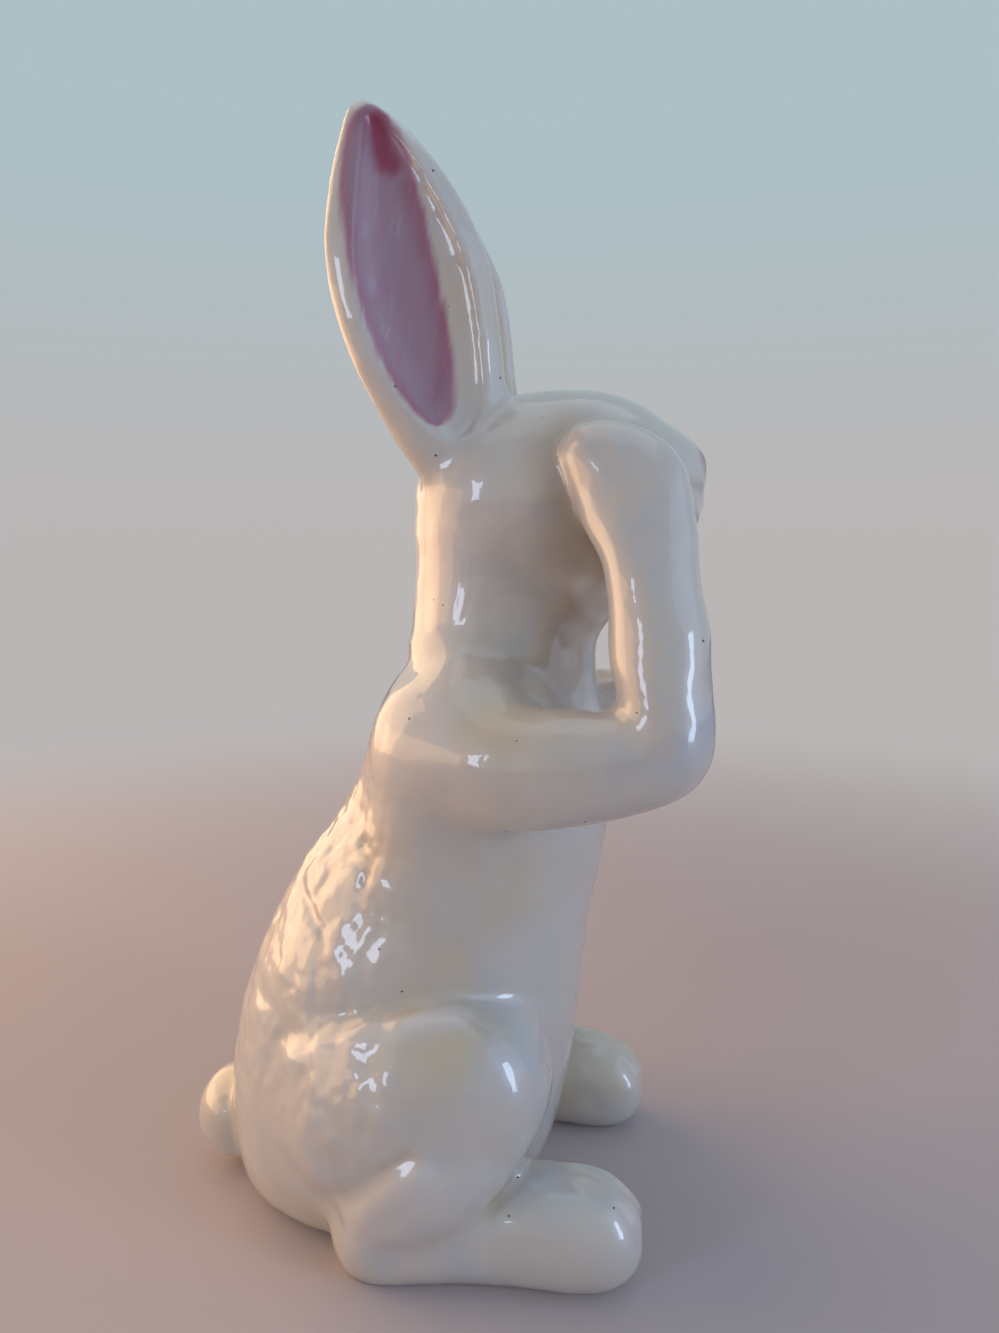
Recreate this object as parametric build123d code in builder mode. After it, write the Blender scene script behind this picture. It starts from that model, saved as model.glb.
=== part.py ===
"""A glazed ceramic rabbit figurine that sits upright with both front paws over its eyes.

Like most hollow figurines it is an assembly of castings. The torso, the head, the ears, the
arms, the haunches, the feet and the tail come out of their own moulds. Each is then trimmed
to the curve of the piece that carries it and stuck on with slip while the clay is soft.
So every piece here is a smooth form with the forms that it sits on cut out of it.

All sizes are in millimetres. +Z is up, and the rabbit stands on Z = 0 and looks along -Y.
Its right side is -X. The origin is on the ground under the middle of the whole figure.
"""
import os

from build123d import *

os.makedirs("parts", exist_ok=True)


# Torso and neck, one drain casting from the base to inside the head
torso_height = 196.0
torso_depth = 100.0
torso_width = 90.0
torso_wall = 4.5
pour_hole = 20.0

# Level slices of the torso from the base up, as shares of its height, depth and width:
# (height, front, back, width), with front and back measured from the figure's middle
torso_shares = (
    (0.000, -0.230, 0.545, 0.72),
    (0.041, -0.300, 0.586, 0.86),
    (0.112, -0.360, 0.605, 0.96),
    (0.204, -0.400, 0.599, 1.00),
    (0.291, -0.422, 0.567, 0.99),
    (0.378, -0.438, 0.512, 0.95),
    (0.459, -0.463, 0.430, 0.89),
    (0.526, -0.488, 0.345, 0.84),
    (0.587, -0.505, 0.260, 0.80),
    (0.638, -0.508, 0.207, 0.78),
    (0.699, -0.495, 0.162, 0.75),
    (0.765, -0.467, 0.100, 0.68),
    (0.816, -0.460, 0.048, 0.61),
    (0.878, -0.455, 0.028, 0.56),
    (0.929, -0.440, 0.022, 0.55),
    (0.969, -0.415, 0.010, 0.50),
    (1.000, -0.370, -0.025, 0.40),
)

# Head, an egg that lies along the figure with its small end at the nose
head_length = 79.0
head_height = 54.0
head_width = 59.0
head_wall = 4.5
nape_reach = 3.7
neck_lap = 19.0
neck_bore = 24.0

# Upright slices of the head from the nape to the nose, as shares of its length, height and
# width: (length, bottom, top, width)
head_shares = (
    (0.000, 0.30, 0.52, 0.18),
    (0.030, 0.15, 0.66, 0.44),
    (0.106, 0.04, 0.81, 0.71),
    (0.220, -0.04, 0.92, 0.90),
    (0.360, -0.10, 0.98, 0.98),
    (0.510, -0.09, 1.00, 1.00),
    (0.650, -0.01, 0.985, 0.93),
    (0.765, 0.09, 0.925, 0.80),
    (0.860, 0.19, 0.840, 0.63),
    (0.935, 0.28, 0.760, 0.44),
    (0.982, 0.35, 0.690, 0.27),
    (1.000, 0.43, 0.620, 0.12),
)

# Muzzle: a pad on each side of the lip, a chin and the nose above them
lip_pad = 16.0
lip_pad_gap = 12.0
lip_pad_rise = 22.0
lip_pad_setback = 9.0
chin = 14.0
chin_rise = 13.0
chin_setback = 15.0
nose = 9.0
nose_rise = 32.5
nose_setback = 4.6

# Ears, solid cast leaves with a scooped outer face
ear_height = 100.0
ear_width = 43.0
ear_thickness = 14.0
ear_scoop = 7.0
ear_lean = 24.2
ear_splay = 8.0
ear_root_spread = 26.0
ear_root_setback = 15.4
ear_turn = 18.0
ear_root_rise = 23.0

# Level slices of an ear from its root to its tip: shares of its height, lean, splay, width
# and thickness, then shares of its width and scoop depth for the scoop, zero where it ends
ear_shares = (
    (0.00, 0.00, 0.00, 0.30, 0.70, 0.00, 0.00),
    (0.08, 0.03, 0.17, 0.53, 0.90, 0.00, 0.00),
    (0.16, 0.10, 0.33, 0.71, 1.00, 0.12, 0.15),
    (0.22, 0.17, 0.42, 0.80, 1.00, 0.40, 0.55),
    (0.30, 0.275, 0.53, 0.87, 1.00, 0.58, 0.85),
    (0.41, 0.40, 0.68, 0.95, 1.00, 0.70, 1.00),
    (0.52, 0.49, 0.78, 0.99, 0.97, 0.74, 1.00),
    (0.64, 0.57, 0.87, 0.95, 0.90, 0.66, 0.92),
    (0.75, 0.66, 0.92, 0.81, 0.79, 0.51, 0.78),
    (0.85, 0.76, 0.97, 0.61, 0.66, 0.34, 0.58),
    (0.93, 0.87, 0.99, 0.39, 0.52, 0.17, 0.34),
    (0.96, 0.925, 1.00, 0.29, 0.44, 0.06, 0.12),
    (0.985, 0.98, 1.00, 0.16, 0.33, 0.00, 0.00),
    (1.00, 1.00, 1.00, 0.06, 0.16, 0.00, 0.00),
)

# Arms, bent at the elbow, with each paw laid over an eye
arm_thickness = 24.0
arm_width = 22.0
elbow_spread = 85.0
shoulder_drop = 59.0
shoulder_setback = 2.0
arm_reach = 61.0
eye_rise = 37.0

# Sections across an arm from the shoulder to the finger ends: shares of the elbow spread,
# the reach and the rise to the eye, the heading in degrees up from level and outwards from
# straight ahead, and shares of the arm's thickness and width
arm_shares = (
    (0.30, 0.00, 0.02, 0, 70, 0.90, 0.90),
    (0.52, 0.06, 0.01, 0, 60, 1.05, 1.00),
    (0.74, 0.18, 0.00, 0, 40, 1.15, 1.05),
    (0.92, 0.40, -0.03, 0, 12, 1.26, 1.14),
    (0.99, 0.70, -0.01, 12, 0, 1.17, 1.14),
    (1.00, 0.975, 0.055, 45, 0, 1.14, 1.14),
    (0.98, 1.01, 0.28, 90, 0, 0.96, 1.05),
    (0.90, 0.985, 0.50, 94, 0, 0.95, 0.98),
    (0.81, 0.945, 0.69, 100, 0, 1.04, 0.93),
    (0.72, 0.885, 0.84, 118, 0, 1.17, 0.90),
    (0.65, 0.785, 0.945, 130, 0, 0.98, 0.84),
    (0.62, 0.685, 1.00, 137, 0, 0.66, 0.66),
    (0.61, 0.63, 1.03, 140, 0, 0.26, 0.30),
)

# Haunches, a dome on each flank
haunch_length = 71.0
haunch_height = 55.0
haunch_bulge = 13.0
haunch_sink = 17.0
haunch_rise = 45.0
haunch_setback = -3.0
haunch_tilt = 24.0

# Slices of a haunch from inside the flank outwards: shares of its way out, length, height
haunch_shares = (
    (0.00, 1.00, 1.00),
    (0.42, 0.99, 0.99),
    (0.64, 0.91, 0.91),
    (0.82, 0.75, 0.74),
    (0.94, 0.50, 0.49),
    (1.00, 0.20, 0.20),
)

# Feet, each with the shank that comes down to its heel from the haunch
foot_length = 80.0
foot_width = 27.0
foot_height = 30.0
foot_spread = 80.0
toe_in = 3.0
heel_setback = 18.6

# Upright slices of a foot from the heel to the toes: shares of length, bottom, top, width
foot_shares = (
    (0.000, 0.14, 0.42, 0.34),
    (0.026, 0.02, 0.56, 0.60),
    (0.095, -0.10, 0.70, 0.90),
    (0.210, -0.12, 0.80, 1.00),
    (0.360, -0.07, 0.80, 0.96),
    (0.510, -0.05, 0.83, 0.94),
    (0.645, -0.05, 0.95, 1.00),
    (0.780, -0.06, 0.98, 1.03),
    (0.895, -0.02, 0.89, 0.95),
    (0.965, 0.10, 0.76, 0.73),
    (1.000, 0.29, 0.60, 0.36),
)

shank_thickness = 25.0
shank_width = 20.0
shank_spread = 94.0
shank_run = 30.0
shank_rise = 35.0
ankle_rise = 13.0
ankle_setback = 6.0

# Sections of a shank from the ankle up: shares of its spread, run and rise and of its size
shank_shares = (
    (0.91, 0.00, 0.00, 0.85),
    (0.98, 0.33, 0.31, 1.00),
    (0.97, 0.68, 0.66, 1.00),
    (0.86, 1.00, 1.00, 0.76),
)

# Tail, a ball on the rump
tail_diameter = 28.5
tail_seat = -0.3
tail_rise = 1.8

# Every cut through a face runs this far past it
overrun = 5.0

head_floor = torso_height - neck_lap
right_side = Vector(-1, 0, 0)
straight_ahead = Vector(0, -1, 0)


def form_through(sections, ruled=False):
    """A solid through ellipses, each given as its plane, width and height.

    It is smooth along its length, or straight between the ellipses where it is ruled.
    """
    with BuildPart() as form:
        for plane, width, height in sections:
            with BuildSketch(plane):
                Ellipse(width / 2, height / 2)
        loft(ruled=ruled)
    return form.part


def torso_form(inset, floor):
    """The torso drawn in by inset all round, with its lowest slice at the height floor.

    The hollow inside is ruled, the outside smooth.
    """
    sections = []
    for height_share, front_share, back_share, width_share in torso_shares:
        height = floor + height_share * (torso_height - floor)
        front = torso_depth * front_share + inset
        back = torso_depth * back_share - inset
        width = torso_width * width_share - 2 * inset
        sections.append((Plane((0, (front + back) / 2, height)), width, back - front))
    return form_through(sections, ruled=inset > 0)


def head_form(inset):
    """The egg of the head, drawn in by inset all round: ruled inside, smooth outside."""
    sections = []
    for length_share, bottom_share, top_share, width_share in head_shares:
        place = nape_reach - inset - length_share * (head_length - 2 * inset)
        scale_in = 1 - 2 * inset / head_height
        bottom = head_floor + inset + head_height * bottom_share * scale_in
        top = head_floor + inset + head_height * top_share * scale_in
        width = (head_width - 2 * inset) * width_share
        plane = Plane((0, place, (bottom + top) / 2), x_dir=(1, 0, 0), z_dir=straight_ahead)
        sections.append((plane, width, top - bottom))
    return form_through(sections, ruled=inset > 0)


torso_outside = torso_form(0, 0)
head_outside = head_form(0)


# The torso is hollow, open at the neck, and has its pour hole in the base
with BuildPart() as body_shell:
    add(torso_outside)
    add(torso_form(torso_wall, torso_wall), mode=Mode.SUBTRACT)
    add(head_outside, mode=Mode.SUBTRACT)
    with Locations((0, torso_depth * (torso_shares[0][1] + torso_shares[0][2]) / 2, 0)):
        Cylinder(pour_hole / 2, 2 * (torso_wall + overrun), mode=Mode.SUBTRACT)


# The head is hollow and opens into the neck
muzzle_front = nape_reach - head_length
with BuildPart() as head_shell:
    add(head_outside)
    for side in (-1, 1):
        pad_place = (
            side * lip_pad_gap / 2,
            muzzle_front + lip_pad_setback,
            head_floor + lip_pad_rise,
        )
        with Locations(pad_place):
            Sphere(lip_pad / 2)
    with Locations((0, muzzle_front + chin_setback, head_floor + chin_rise)):
        Sphere(chin / 2)
    with Locations((0, muzzle_front + nose_setback, head_floor + nose_rise)):
        Sphere(nose / 2)
    add(head_form(head_wall), mode=Mode.SUBTRACT)
    neck_middle = torso_depth * (torso_shares[-1][1] + torso_shares[-1][2]) / 2
    with BuildSketch(Plane((0, neck_middle, head_floor - head_wall - overrun))):
        Circle(neck_bore / 2)
    extrude(amount=head_height / 2, mode=Mode.SUBTRACT)


# The right ear, a leaf with its hollow face outwards
ear_facing = right_side.rotate(Axis.Z, ear_turn)
ear_sections = []
scoop_sections = []
for height_share, lean_share, splay_share, width_share, thickness_share, mouth, depth in ear_shares:
    outward = ear_root_spread / 2 + ear_splay * splay_share
    thickness = ear_thickness * thickness_share
    place_y = nape_reach - ear_root_setback + ear_lean * lean_share
    height = head_floor + ear_root_rise + ear_height * height_share
    ear_plane = Plane((-outward, place_y, height), x_dir=ear_facing)
    ear_sections.append((ear_plane, thickness, ear_width * width_share))
    if mouth > 0:
        scoop_plane = Plane(ear_plane.origin + ear_facing * (thickness / 2), x_dir=ear_facing)
        scoop_sections.append((scoop_plane, 2 * ear_scoop * depth, ear_width * mouth))

with BuildPart() as right_ear:
    add(form_through(ear_sections))
    add(form_through(scoop_sections), mode=Mode.SUBTRACT)
    add(head_outside, mode=Mode.SUBTRACT)


# The right arm, trimmed to the shoulder and to the side of the head
shoulder_height = torso_height - shoulder_drop
arm_rise = head_floor + eye_rise - shoulder_height
arm_sections = []
for out_share, reach_share, rise_share, climb, turn, thickness_share, width_share in arm_shares:
    place = (
        -elbow_spread / 2 * out_share,
        -shoulder_setback - arm_reach * reach_share,
        shoulder_height + arm_rise * rise_share,
    )
    across = Vector(1, 0, 0).rotate(Axis.Z, -turn)
    heading = straight_ahead.rotate(Axis.X, -climb).rotate(Axis.Z, -turn)
    section_plane = Plane(place, x_dir=across, z_dir=heading)
    arm_sections.append((section_plane, arm_width * width_share, arm_thickness * thickness_share))

with BuildPart() as right_arm:
    add(form_through(arm_sections))
    add(torso_outside, mode=Mode.SUBTRACT)
    add(head_outside, mode=Mode.SUBTRACT)


# The right haunch, trimmed to the flank
haunch_way = haunch_sink + haunch_bulge
haunch_heading = straight_ahead.rotate(Axis.X, -haunch_tilt)
haunch_sections = []
for out_share, length_share, height_share in haunch_shares:
    outward = torso_width / 2 - haunch_sink + haunch_way * out_share
    place = (-outward, haunch_setback, haunch_rise)
    haunch_plane = Plane(place, x_dir=haunch_heading, z_dir=right_side)
    haunch_size = (haunch_length * length_share, haunch_height * height_share)
    haunch_sections.append((haunch_plane, *haunch_size))

haunch_outside = form_through(haunch_sections)

with BuildPart() as right_haunch:
    add(haunch_outside)
    add(torso_outside, mode=Mode.SUBTRACT)


# The right foot and shank, flat underneath, which comes out from under the haunch
foot_sections = []
for length_share, bottom_share, top_share, width_share in foot_shares:
    bottom = foot_height * bottom_share
    top = foot_height * top_share
    outward = foot_spread / 2 - toe_in * length_share
    place = (-outward, heel_setback - foot_length * length_share, (bottom + top) / 2)
    foot_plane = Plane(place, x_dir=(1, 0, 0), z_dir=straight_ahead)
    foot_sections.append((foot_plane, foot_width * width_share, top - bottom))

shank_heading = Vector(0, -shank_run, shank_rise)
shank_sections = []
for out_share, run_share, rise_share, size_share in shank_shares:
    place = (
        -shank_spread / 2 * out_share,
        ankle_setback - shank_run * run_share,
        ankle_rise + shank_rise * rise_share,
    )
    shank_plane = Plane(place, x_dir=(1, 0, 0), z_dir=shank_heading)
    shank_sections.append((shank_plane, shank_width * size_share, shank_thickness * size_share))

with BuildPart() as right_foot:
    add(form_through(foot_sections))
    add(form_through(shank_sections))
    add(torso_outside, mode=Mode.SUBTRACT)
    add(haunch_outside, mode=Mode.SUBTRACT)
    with Locations((-foot_spread / 2, 0, 0)):
        Box(
            2 * foot_spread,
            2 * foot_length,
            2 * foot_height,
            align=(Align.CENTER, Align.CENTER, Align.MAX),
            mode=Mode.SUBTRACT,
        )


# The tail, trimmed to the rump
tail_middle = torso_depth * torso_shares[2][2] + tail_seat
with BuildPart() as tail:
    with Locations((0, tail_middle, tail_rise + tail_diameter / 2)):
        Sphere(tail_diameter / 2)
    add(torso_outside, mode=Mode.SUBTRACT)


# The left side is the right side in a mirror
with BuildPart() as left_ear:
    mirror(right_ear.part, about=Plane.YZ)

with BuildPart() as left_arm:
    mirror(right_arm.part, about=Plane.YZ)

with BuildPart() as left_haunch:
    mirror(right_haunch.part, about=Plane.YZ)

with BuildPart() as left_foot:
    mirror(right_foot.part, about=Plane.YZ)


body_shell.part.label = "body_shell"
head_shell.part.label = "head_shell"
right_ear.part.label = "right_ear"
left_ear.part.label = "left_ear"
right_arm.part.label = "right_arm"
left_arm.part.label = "left_arm"
right_haunch.part.label = "right_haunch"
left_haunch.part.label = "left_haunch"
right_foot.part.label = "right_foot"
left_foot.part.label = "left_foot"
tail.part.label = "tail"

export_step(body_shell.part, "parts/body_shell.step")
export_step(head_shell.part, "parts/head_shell.step")
export_step(right_ear.part, "parts/right_ear.step")
export_step(left_ear.part, "parts/left_ear.step")
export_step(right_arm.part, "parts/right_arm.step")
export_step(left_arm.part, "parts/left_arm.step")
export_step(right_haunch.part, "parts/right_haunch.step")
export_step(left_haunch.part, "parts/left_haunch.step")
export_step(right_foot.part, "parts/right_foot.step")
export_step(left_foot.part, "parts/left_foot.step")
export_step(tail.part, "parts/tail.step")
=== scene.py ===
"""The looks of a glazed ceramic rabbit figurine, built over its packed castings.

The castings are stuck together with slip and then covered by one thick glaze, so the eye sees
a single skin with soft creases. The skin is made here in one go from all the castings, as the
surface that lies at distance zero from the clay, and is then cut along its creases into one
piece for each casting. The drained hollow inside shows bare clay and makes two more pieces, and
the iron spots on the glaze make one. Sizes are in metres, +Z is up and the rabbit looks along -Y.
"""
import logging
import math
from collections.abc import Callable, Iterable, Sequence
from dataclasses import dataclass, field, replace
from enum import Enum
from functools import partial

import bpy
import numpy as np
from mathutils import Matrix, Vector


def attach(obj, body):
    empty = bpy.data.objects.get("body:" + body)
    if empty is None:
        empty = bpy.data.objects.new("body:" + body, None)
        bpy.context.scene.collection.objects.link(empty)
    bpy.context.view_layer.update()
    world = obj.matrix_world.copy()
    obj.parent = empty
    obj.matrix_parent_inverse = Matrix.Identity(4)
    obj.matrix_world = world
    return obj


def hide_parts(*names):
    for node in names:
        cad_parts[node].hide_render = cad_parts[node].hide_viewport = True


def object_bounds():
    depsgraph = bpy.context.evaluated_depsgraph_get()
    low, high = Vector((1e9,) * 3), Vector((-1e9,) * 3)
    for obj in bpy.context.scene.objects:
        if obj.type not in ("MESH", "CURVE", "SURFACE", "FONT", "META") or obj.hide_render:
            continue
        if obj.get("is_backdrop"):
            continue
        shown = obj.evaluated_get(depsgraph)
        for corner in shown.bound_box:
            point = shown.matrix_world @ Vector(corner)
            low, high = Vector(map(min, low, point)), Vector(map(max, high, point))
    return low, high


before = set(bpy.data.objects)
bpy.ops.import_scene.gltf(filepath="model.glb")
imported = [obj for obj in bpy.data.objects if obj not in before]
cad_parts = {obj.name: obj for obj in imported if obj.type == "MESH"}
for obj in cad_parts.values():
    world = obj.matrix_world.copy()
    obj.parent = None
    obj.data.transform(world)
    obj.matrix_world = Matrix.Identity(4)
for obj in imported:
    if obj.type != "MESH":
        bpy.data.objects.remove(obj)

import openvdb
from mathutils import Vector
from mathutils.bvhtree import BVHTree

log = logging.getLogger("rabbit")

Array = np.ndarray
Axes = tuple[Array, Array, Array]
Place = tuple[float, float, float]
Triple = tuple[float, float, float]
# The value at which a soft step starts, and the value at which it is full
Span = tuple[float, float]
# What a node's input can be linked to, where a node stands for its first output
Source = bpy.types.Node | bpy.types.NodeSocket
# The function that adds nodes, bound to a tree
Adder = Callable[..., bpy.types.Node]
# The points of a solid, one a row, and its triangles as rows of three point numbers
Solid = tuple[Array, Array]
# A colour laid over another one: the value that decides where, its span, and the colour
Layer = tuple[Source, Span, str]

BODY = "root"
# Sockets that are found by number, because their node has several of the same name
MIX_UNDER = 6
MIX_OVER = 7
MIX_RESULT = 2
RANDOM_LEAST = 2
RANDOM_MOST = 3
RANDOM_RESULT = 1
# How far the side of a groove reaches, as a share of the groove's width
GROOVE_REACH = 0.6


def mm(value: float) -> float:
    """Turn millimetres into the metres that the scene is built in."""
    return value / 1000.0


# How far the three marks of a paw or a foot lie from the middle one
DIGIT_SHIFTS = (mm(-6.5), 0.0, mm(6.5))
# How far to the side and to the front of the figure's middle the throat and the jaw lie
THROAT_SIDE = (mm(-1), mm(-13))
THROAT_FRONT = (mm(-24), mm(-42))


def linear(hex_colour: str) -> tuple[float, float, float, float]:
    """Turn an sRGB colour into the linear one that the shaders use.

    Args:
        hex_colour: Six hexadecimal digits, as in "F0EADB".

    Returns:
        Red, green, blue and an alpha of one.
    """
    channels = []
    for start in (0, 2, 4):
        value = int(hex_colour[start : start + 2], 16) / 255.0
        if value <= 0.04045:
            channels.append(value / 12.92)
        else:
            channels.append(((value + 0.055) / 1.055) ** 2.4)
    return (channels[0], channels[1], channels[2], 1.0)


def rise(values: Array, start: float, end: float) -> Array:
    """A soft step from 0 at start to 1 at end, where start may be the larger of the two."""
    share = np.clip((values - start) / (end - start), 0.0, 1.0)
    return share * share * (3.0 - 2.0 * share)


def within(values: Array, low: Span, high: Span) -> Array:
    """A soft band that is 1 from its low to its high side and fades to 0 outside."""
    return rise(values, *low) * rise(values, *high)


def to_right_side(points: Array) -> Array:
    """Fold the left side's points over onto the right side, where X is negative."""
    folded = points.copy()
    folded[:, 0] = -np.abs(folded[:, 0])
    return folded


def distance_to_path(points: Array, path: Sequence[Place]) -> Array:
    """How far each point lies from a path of straight runs.

    Args:
        points: The points, one a row.
        path: The corners of the path.

    Returns:
        One distance a point.
    """
    nearest = np.full(len(points), np.inf)
    for start, end in zip(path[:-1], path[1:]):
        start = np.array(start)
        run = np.array(end) - start
        share = np.clip((points - start) @ run / (run @ run), 0.0, 1.0)
        gap = np.linalg.norm(points - start - share[:, None] * run, axis=1)
        nearest = np.minimum(nearest, gap)
    return nearest


def groove(points: Array, path: Sequence[Place], width: float, depth: float) -> Array:
    """How deep a round tool that is drawn along a path presses the clay in.

    Args:
        points: The points of the skin, one a row.
        path: The corners of the tool's path.
        width: The groove's width at about half its depth.
        depth: The groove's depth along its middle.

    Returns:
        One depth a point.
    """
    return depth * np.exp(-((distance_to_path(points, path) / (GROOVE_REACH * width)) ** 2))


def beside_throat(places: Array) -> Array:
    """Where a point of the right side lies beside the throat and the jaw, from 0 to 1."""
    return rise(places[:, 0], *THROAT_SIDE) * rise(places[:, 1], *THROAT_FRONT)


def vertex_rows(mesh: bpy.types.Mesh, fact: str) -> Array:
    """Read co or normal of a mesh's points, one point a row."""
    rows = np.empty(len(mesh.vertices) * 3, np.float32)
    mesh.vertices.foreach_get(fact, rows)
    return rows.reshape(-1, 3)


def note_fact(mesh: bpy.types.Mesh, fact: str, values: Array) -> None:
    """Write one value a point into an attribute that the nodes can read."""
    layer = mesh.attributes.new(fact, "FLOAT", "POINT")
    layer.data.foreach_set("value", values.astype(np.float32))


def solid_of(node: str) -> Solid:
    """The corner points and the triangles of a packed casting."""
    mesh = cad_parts[node].data
    mesh.calc_loop_triangles()
    triangles = np.empty(len(mesh.loop_triangles) * 3, np.int32)
    mesh.loop_triangles.foreach_get("vertices", triangles)
    return vertex_rows(mesh, "co"), triangles.reshape(-1, 3)


def merged(solids: Iterable[Solid]) -> Solid:
    """Several solids as one."""
    points, triangles, count = [], [], 0
    for own_points, own_triangles in solids:
        points.append(own_points)
        triangles.append(own_triangles + count)
        count += len(own_points)
    return np.concatenate(points), np.concatenate(triangles)


def into_scene(name: str, content: bpy.types.ID) -> bpy.types.Object:
    """Make a mesh, lamp or camera an object of the scene."""
    thing = bpy.data.objects.new(name, content)
    bpy.context.scene.collection.objects.link(thing)
    return thing


@dataclass(frozen=True)
class BlendZone:
    """A soft-sided box, the same on both sides, in which slip was smoothed out widely.

    Its corners are given on the left side, where X is positive.
    """

    low: Place
    high: Place
    fade: float
    spread: float
    joint_width: float

    def weight(self, axes: Axes) -> Array:
        """How strongly the zone counts at each point of a block.

        Args:
            axes: The block's X, Y and Z values.

        Returns:
            A block of weights from 0 to 1.
        """
        sides = []
        for values, low, high in zip((np.abs(axes[0]), *axes[1:]), self.low, self.high):
            sides.append(within(values, (low - self.fade, low), (high + self.fade, high)))
        return sides[0][:, None, None] * sides[1][None, :, None] * sides[2][None, None, :]


@dataclass(frozen=True)
class Pad:
    """A lump of soft clay that was worked over a joint, the same on both sides."""

    middle: Place
    radii: Triple
    joint_width: float

    def distances(self, axes: Axes) -> Array:
        """Roughly how far each point of a block lies from the lump.

        Args:
            axes: The block's X, Y and Z values.

        Returns:
            A block of distances, negative inside the lump.
        """
        once, twice = 0.0, 0.0
        shapes = ((-1, 1, 1), (1, -1, 1), (1, 1, -1))
        folded = (np.abs(axes[0]), *axes[1:])
        for values, middle, radius, shape in zip(folded, self.middle, self.radii, shapes):
            away = ((values - middle) / radius).reshape(shape)
            once = once + away**2
            twice = twice + (away / radius) ** 2
        once, twice = np.sqrt(once), np.sqrt(twice)
        return (once * (once - 1.0) / np.maximum(twice, 1.0)).astype(np.float32)


@dataclass
class DistanceBlock:
    """A block of space whose every cell holds the distance to the clay, negative inside it."""

    low_corner: Vector
    high_corner: Vector
    cell: float
    band: int = 15
    spare_cells: int = 3
    first: Array = field(init=False)
    values: Array = field(init=False)

    def __post_init__(self) -> None:
        """Lay the block out with room for the band around the object."""
        room = self.band + self.spare_cells
        self.first = np.floor(np.array(self.low_corner) / self.cell).astype(int) - room
        last = np.ceil(np.array(self.high_corner) / self.cell).astype(int) + room
        self.values = np.full(tuple(last - self.first + 1), self.reach, np.float32)

    @property
    def reach(self) -> float:
        """The distance past which all cells hold the same value."""
        return self.band * self.cell

    @property
    def grid_scale(self) -> object:
        """The transform from cell numbers to metres."""
        return openvdb.createLinearTransform(voxelSize=self.cell)

    @property
    def axes(self) -> Axes:
        """The places of the cells along X, Y and Z."""
        counts = zip(self.first, self.values.shape)
        return tuple((first + np.arange(count)) * self.cell for first, count in counts)

    def distances(self, points: Array, triangles: Array) -> tuple[tuple[slice, ...], Array]:
        """Measure the distance to one closed solid.

        Args:
            points: The solid's corner points.
            triangles: The solid's triangles.

        Returns:
            The part of the block that the solid reaches, and the distances in it.
        """
        level = openvdb.FloatGrid.createLevelSetFromPolygons(
            points.astype(np.float32),
            triangles=triangles.astype(np.uint32),
            transform=self.grid_scale,
            halfWidth=float(self.band),
        )
        start = np.floor(points.min(axis=0) / self.cell).astype(int) - self.band
        stop = np.ceil(points.max(axis=0) / self.cell).astype(int) + self.band + 1
        part = np.empty(tuple(stop - start), np.float32)
        level.copyToArray(part, ijk=tuple(int(number) for number in start))
        offset = start - self.first
        place = tuple(slice(o, o + s) for o, s in zip(offset, part.shape))
        return place, part

    def blur(self, part: Array, spread: float) -> Array:
        """Soften distances, which rounds every edge and fills every crease.

        Args:
            part: A part of the block.
            spread: The standard deviation of the softening.

        Returns:
            The softened part.
        """
        cells = spread / self.cell
        reach = int(math.ceil(3.0 * cells))
        steps = np.arange(-reach, reach + 1)
        shares = np.exp(-0.5 * (steps / cells) ** 2)
        shares /= shares.sum()
        for axis in range(3):
            padded = np.pad(part, [(reach, reach) if a == axis else (0, 0) for a in range(3)], "edge")
            total = np.zeros_like(part)
            for step, share in zip(range(2 * reach + 1), shares):
                window = [slice(None)] * 3
                window[axis] = slice(step, step + part.shape[axis])
                total += np.float32(share) * padded[tuple(window)]
            part = total
        return part

    def soften(self, part: Array, spread: float) -> Array:
        """Soften distances, and give back what that takes off thin forms.

        Args:
            part: A part of the block.
            spread: The standard deviation of the softening.

        Returns:
            The softened part.
        """
        once = self.blur(part, spread)
        return 2.0 * once - self.blur(once, spread)

    def sample(self, values: Array, points: Array) -> Array:
        """Read a block of values between its cells.

        Args:
            values: A block of the same layout as this one.
            points: The points to read at, one a row.

        Returns:
            One value a point.
        """
        place = points / self.cell - self.first
        base = np.clip(np.floor(place).astype(int), 0, np.array(values.shape) - 2)
        share = place - base
        total = np.zeros(len(points))
        for corner in np.ndindex(2, 2, 2):
            weight = np.prod(np.where(corner, share, 1.0 - share), axis=1)
            at = base + corner
            total += weight * values[at[:, 0], at[:, 1], at[:, 2]]
        return total

    def surface(self, distance: float = 0.0) -> tuple[Array, Array]:
        """Draw the skin that lies at one distance from the clay.

        Args:
            distance: How far outside the clay the skin lies.

        Returns:
            The skin's points and its quads.
        """
        level = openvdb.FloatGrid(self.reach)
        level.transform = self.grid_scale
        level.copyFromArray(self.values, ijk=tuple(int(number) for number in self.first))
        points, quads = level.convertToQuads(isovalue=distance)
        return np.array(points, np.float64), np.array(quads, np.int64)


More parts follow.
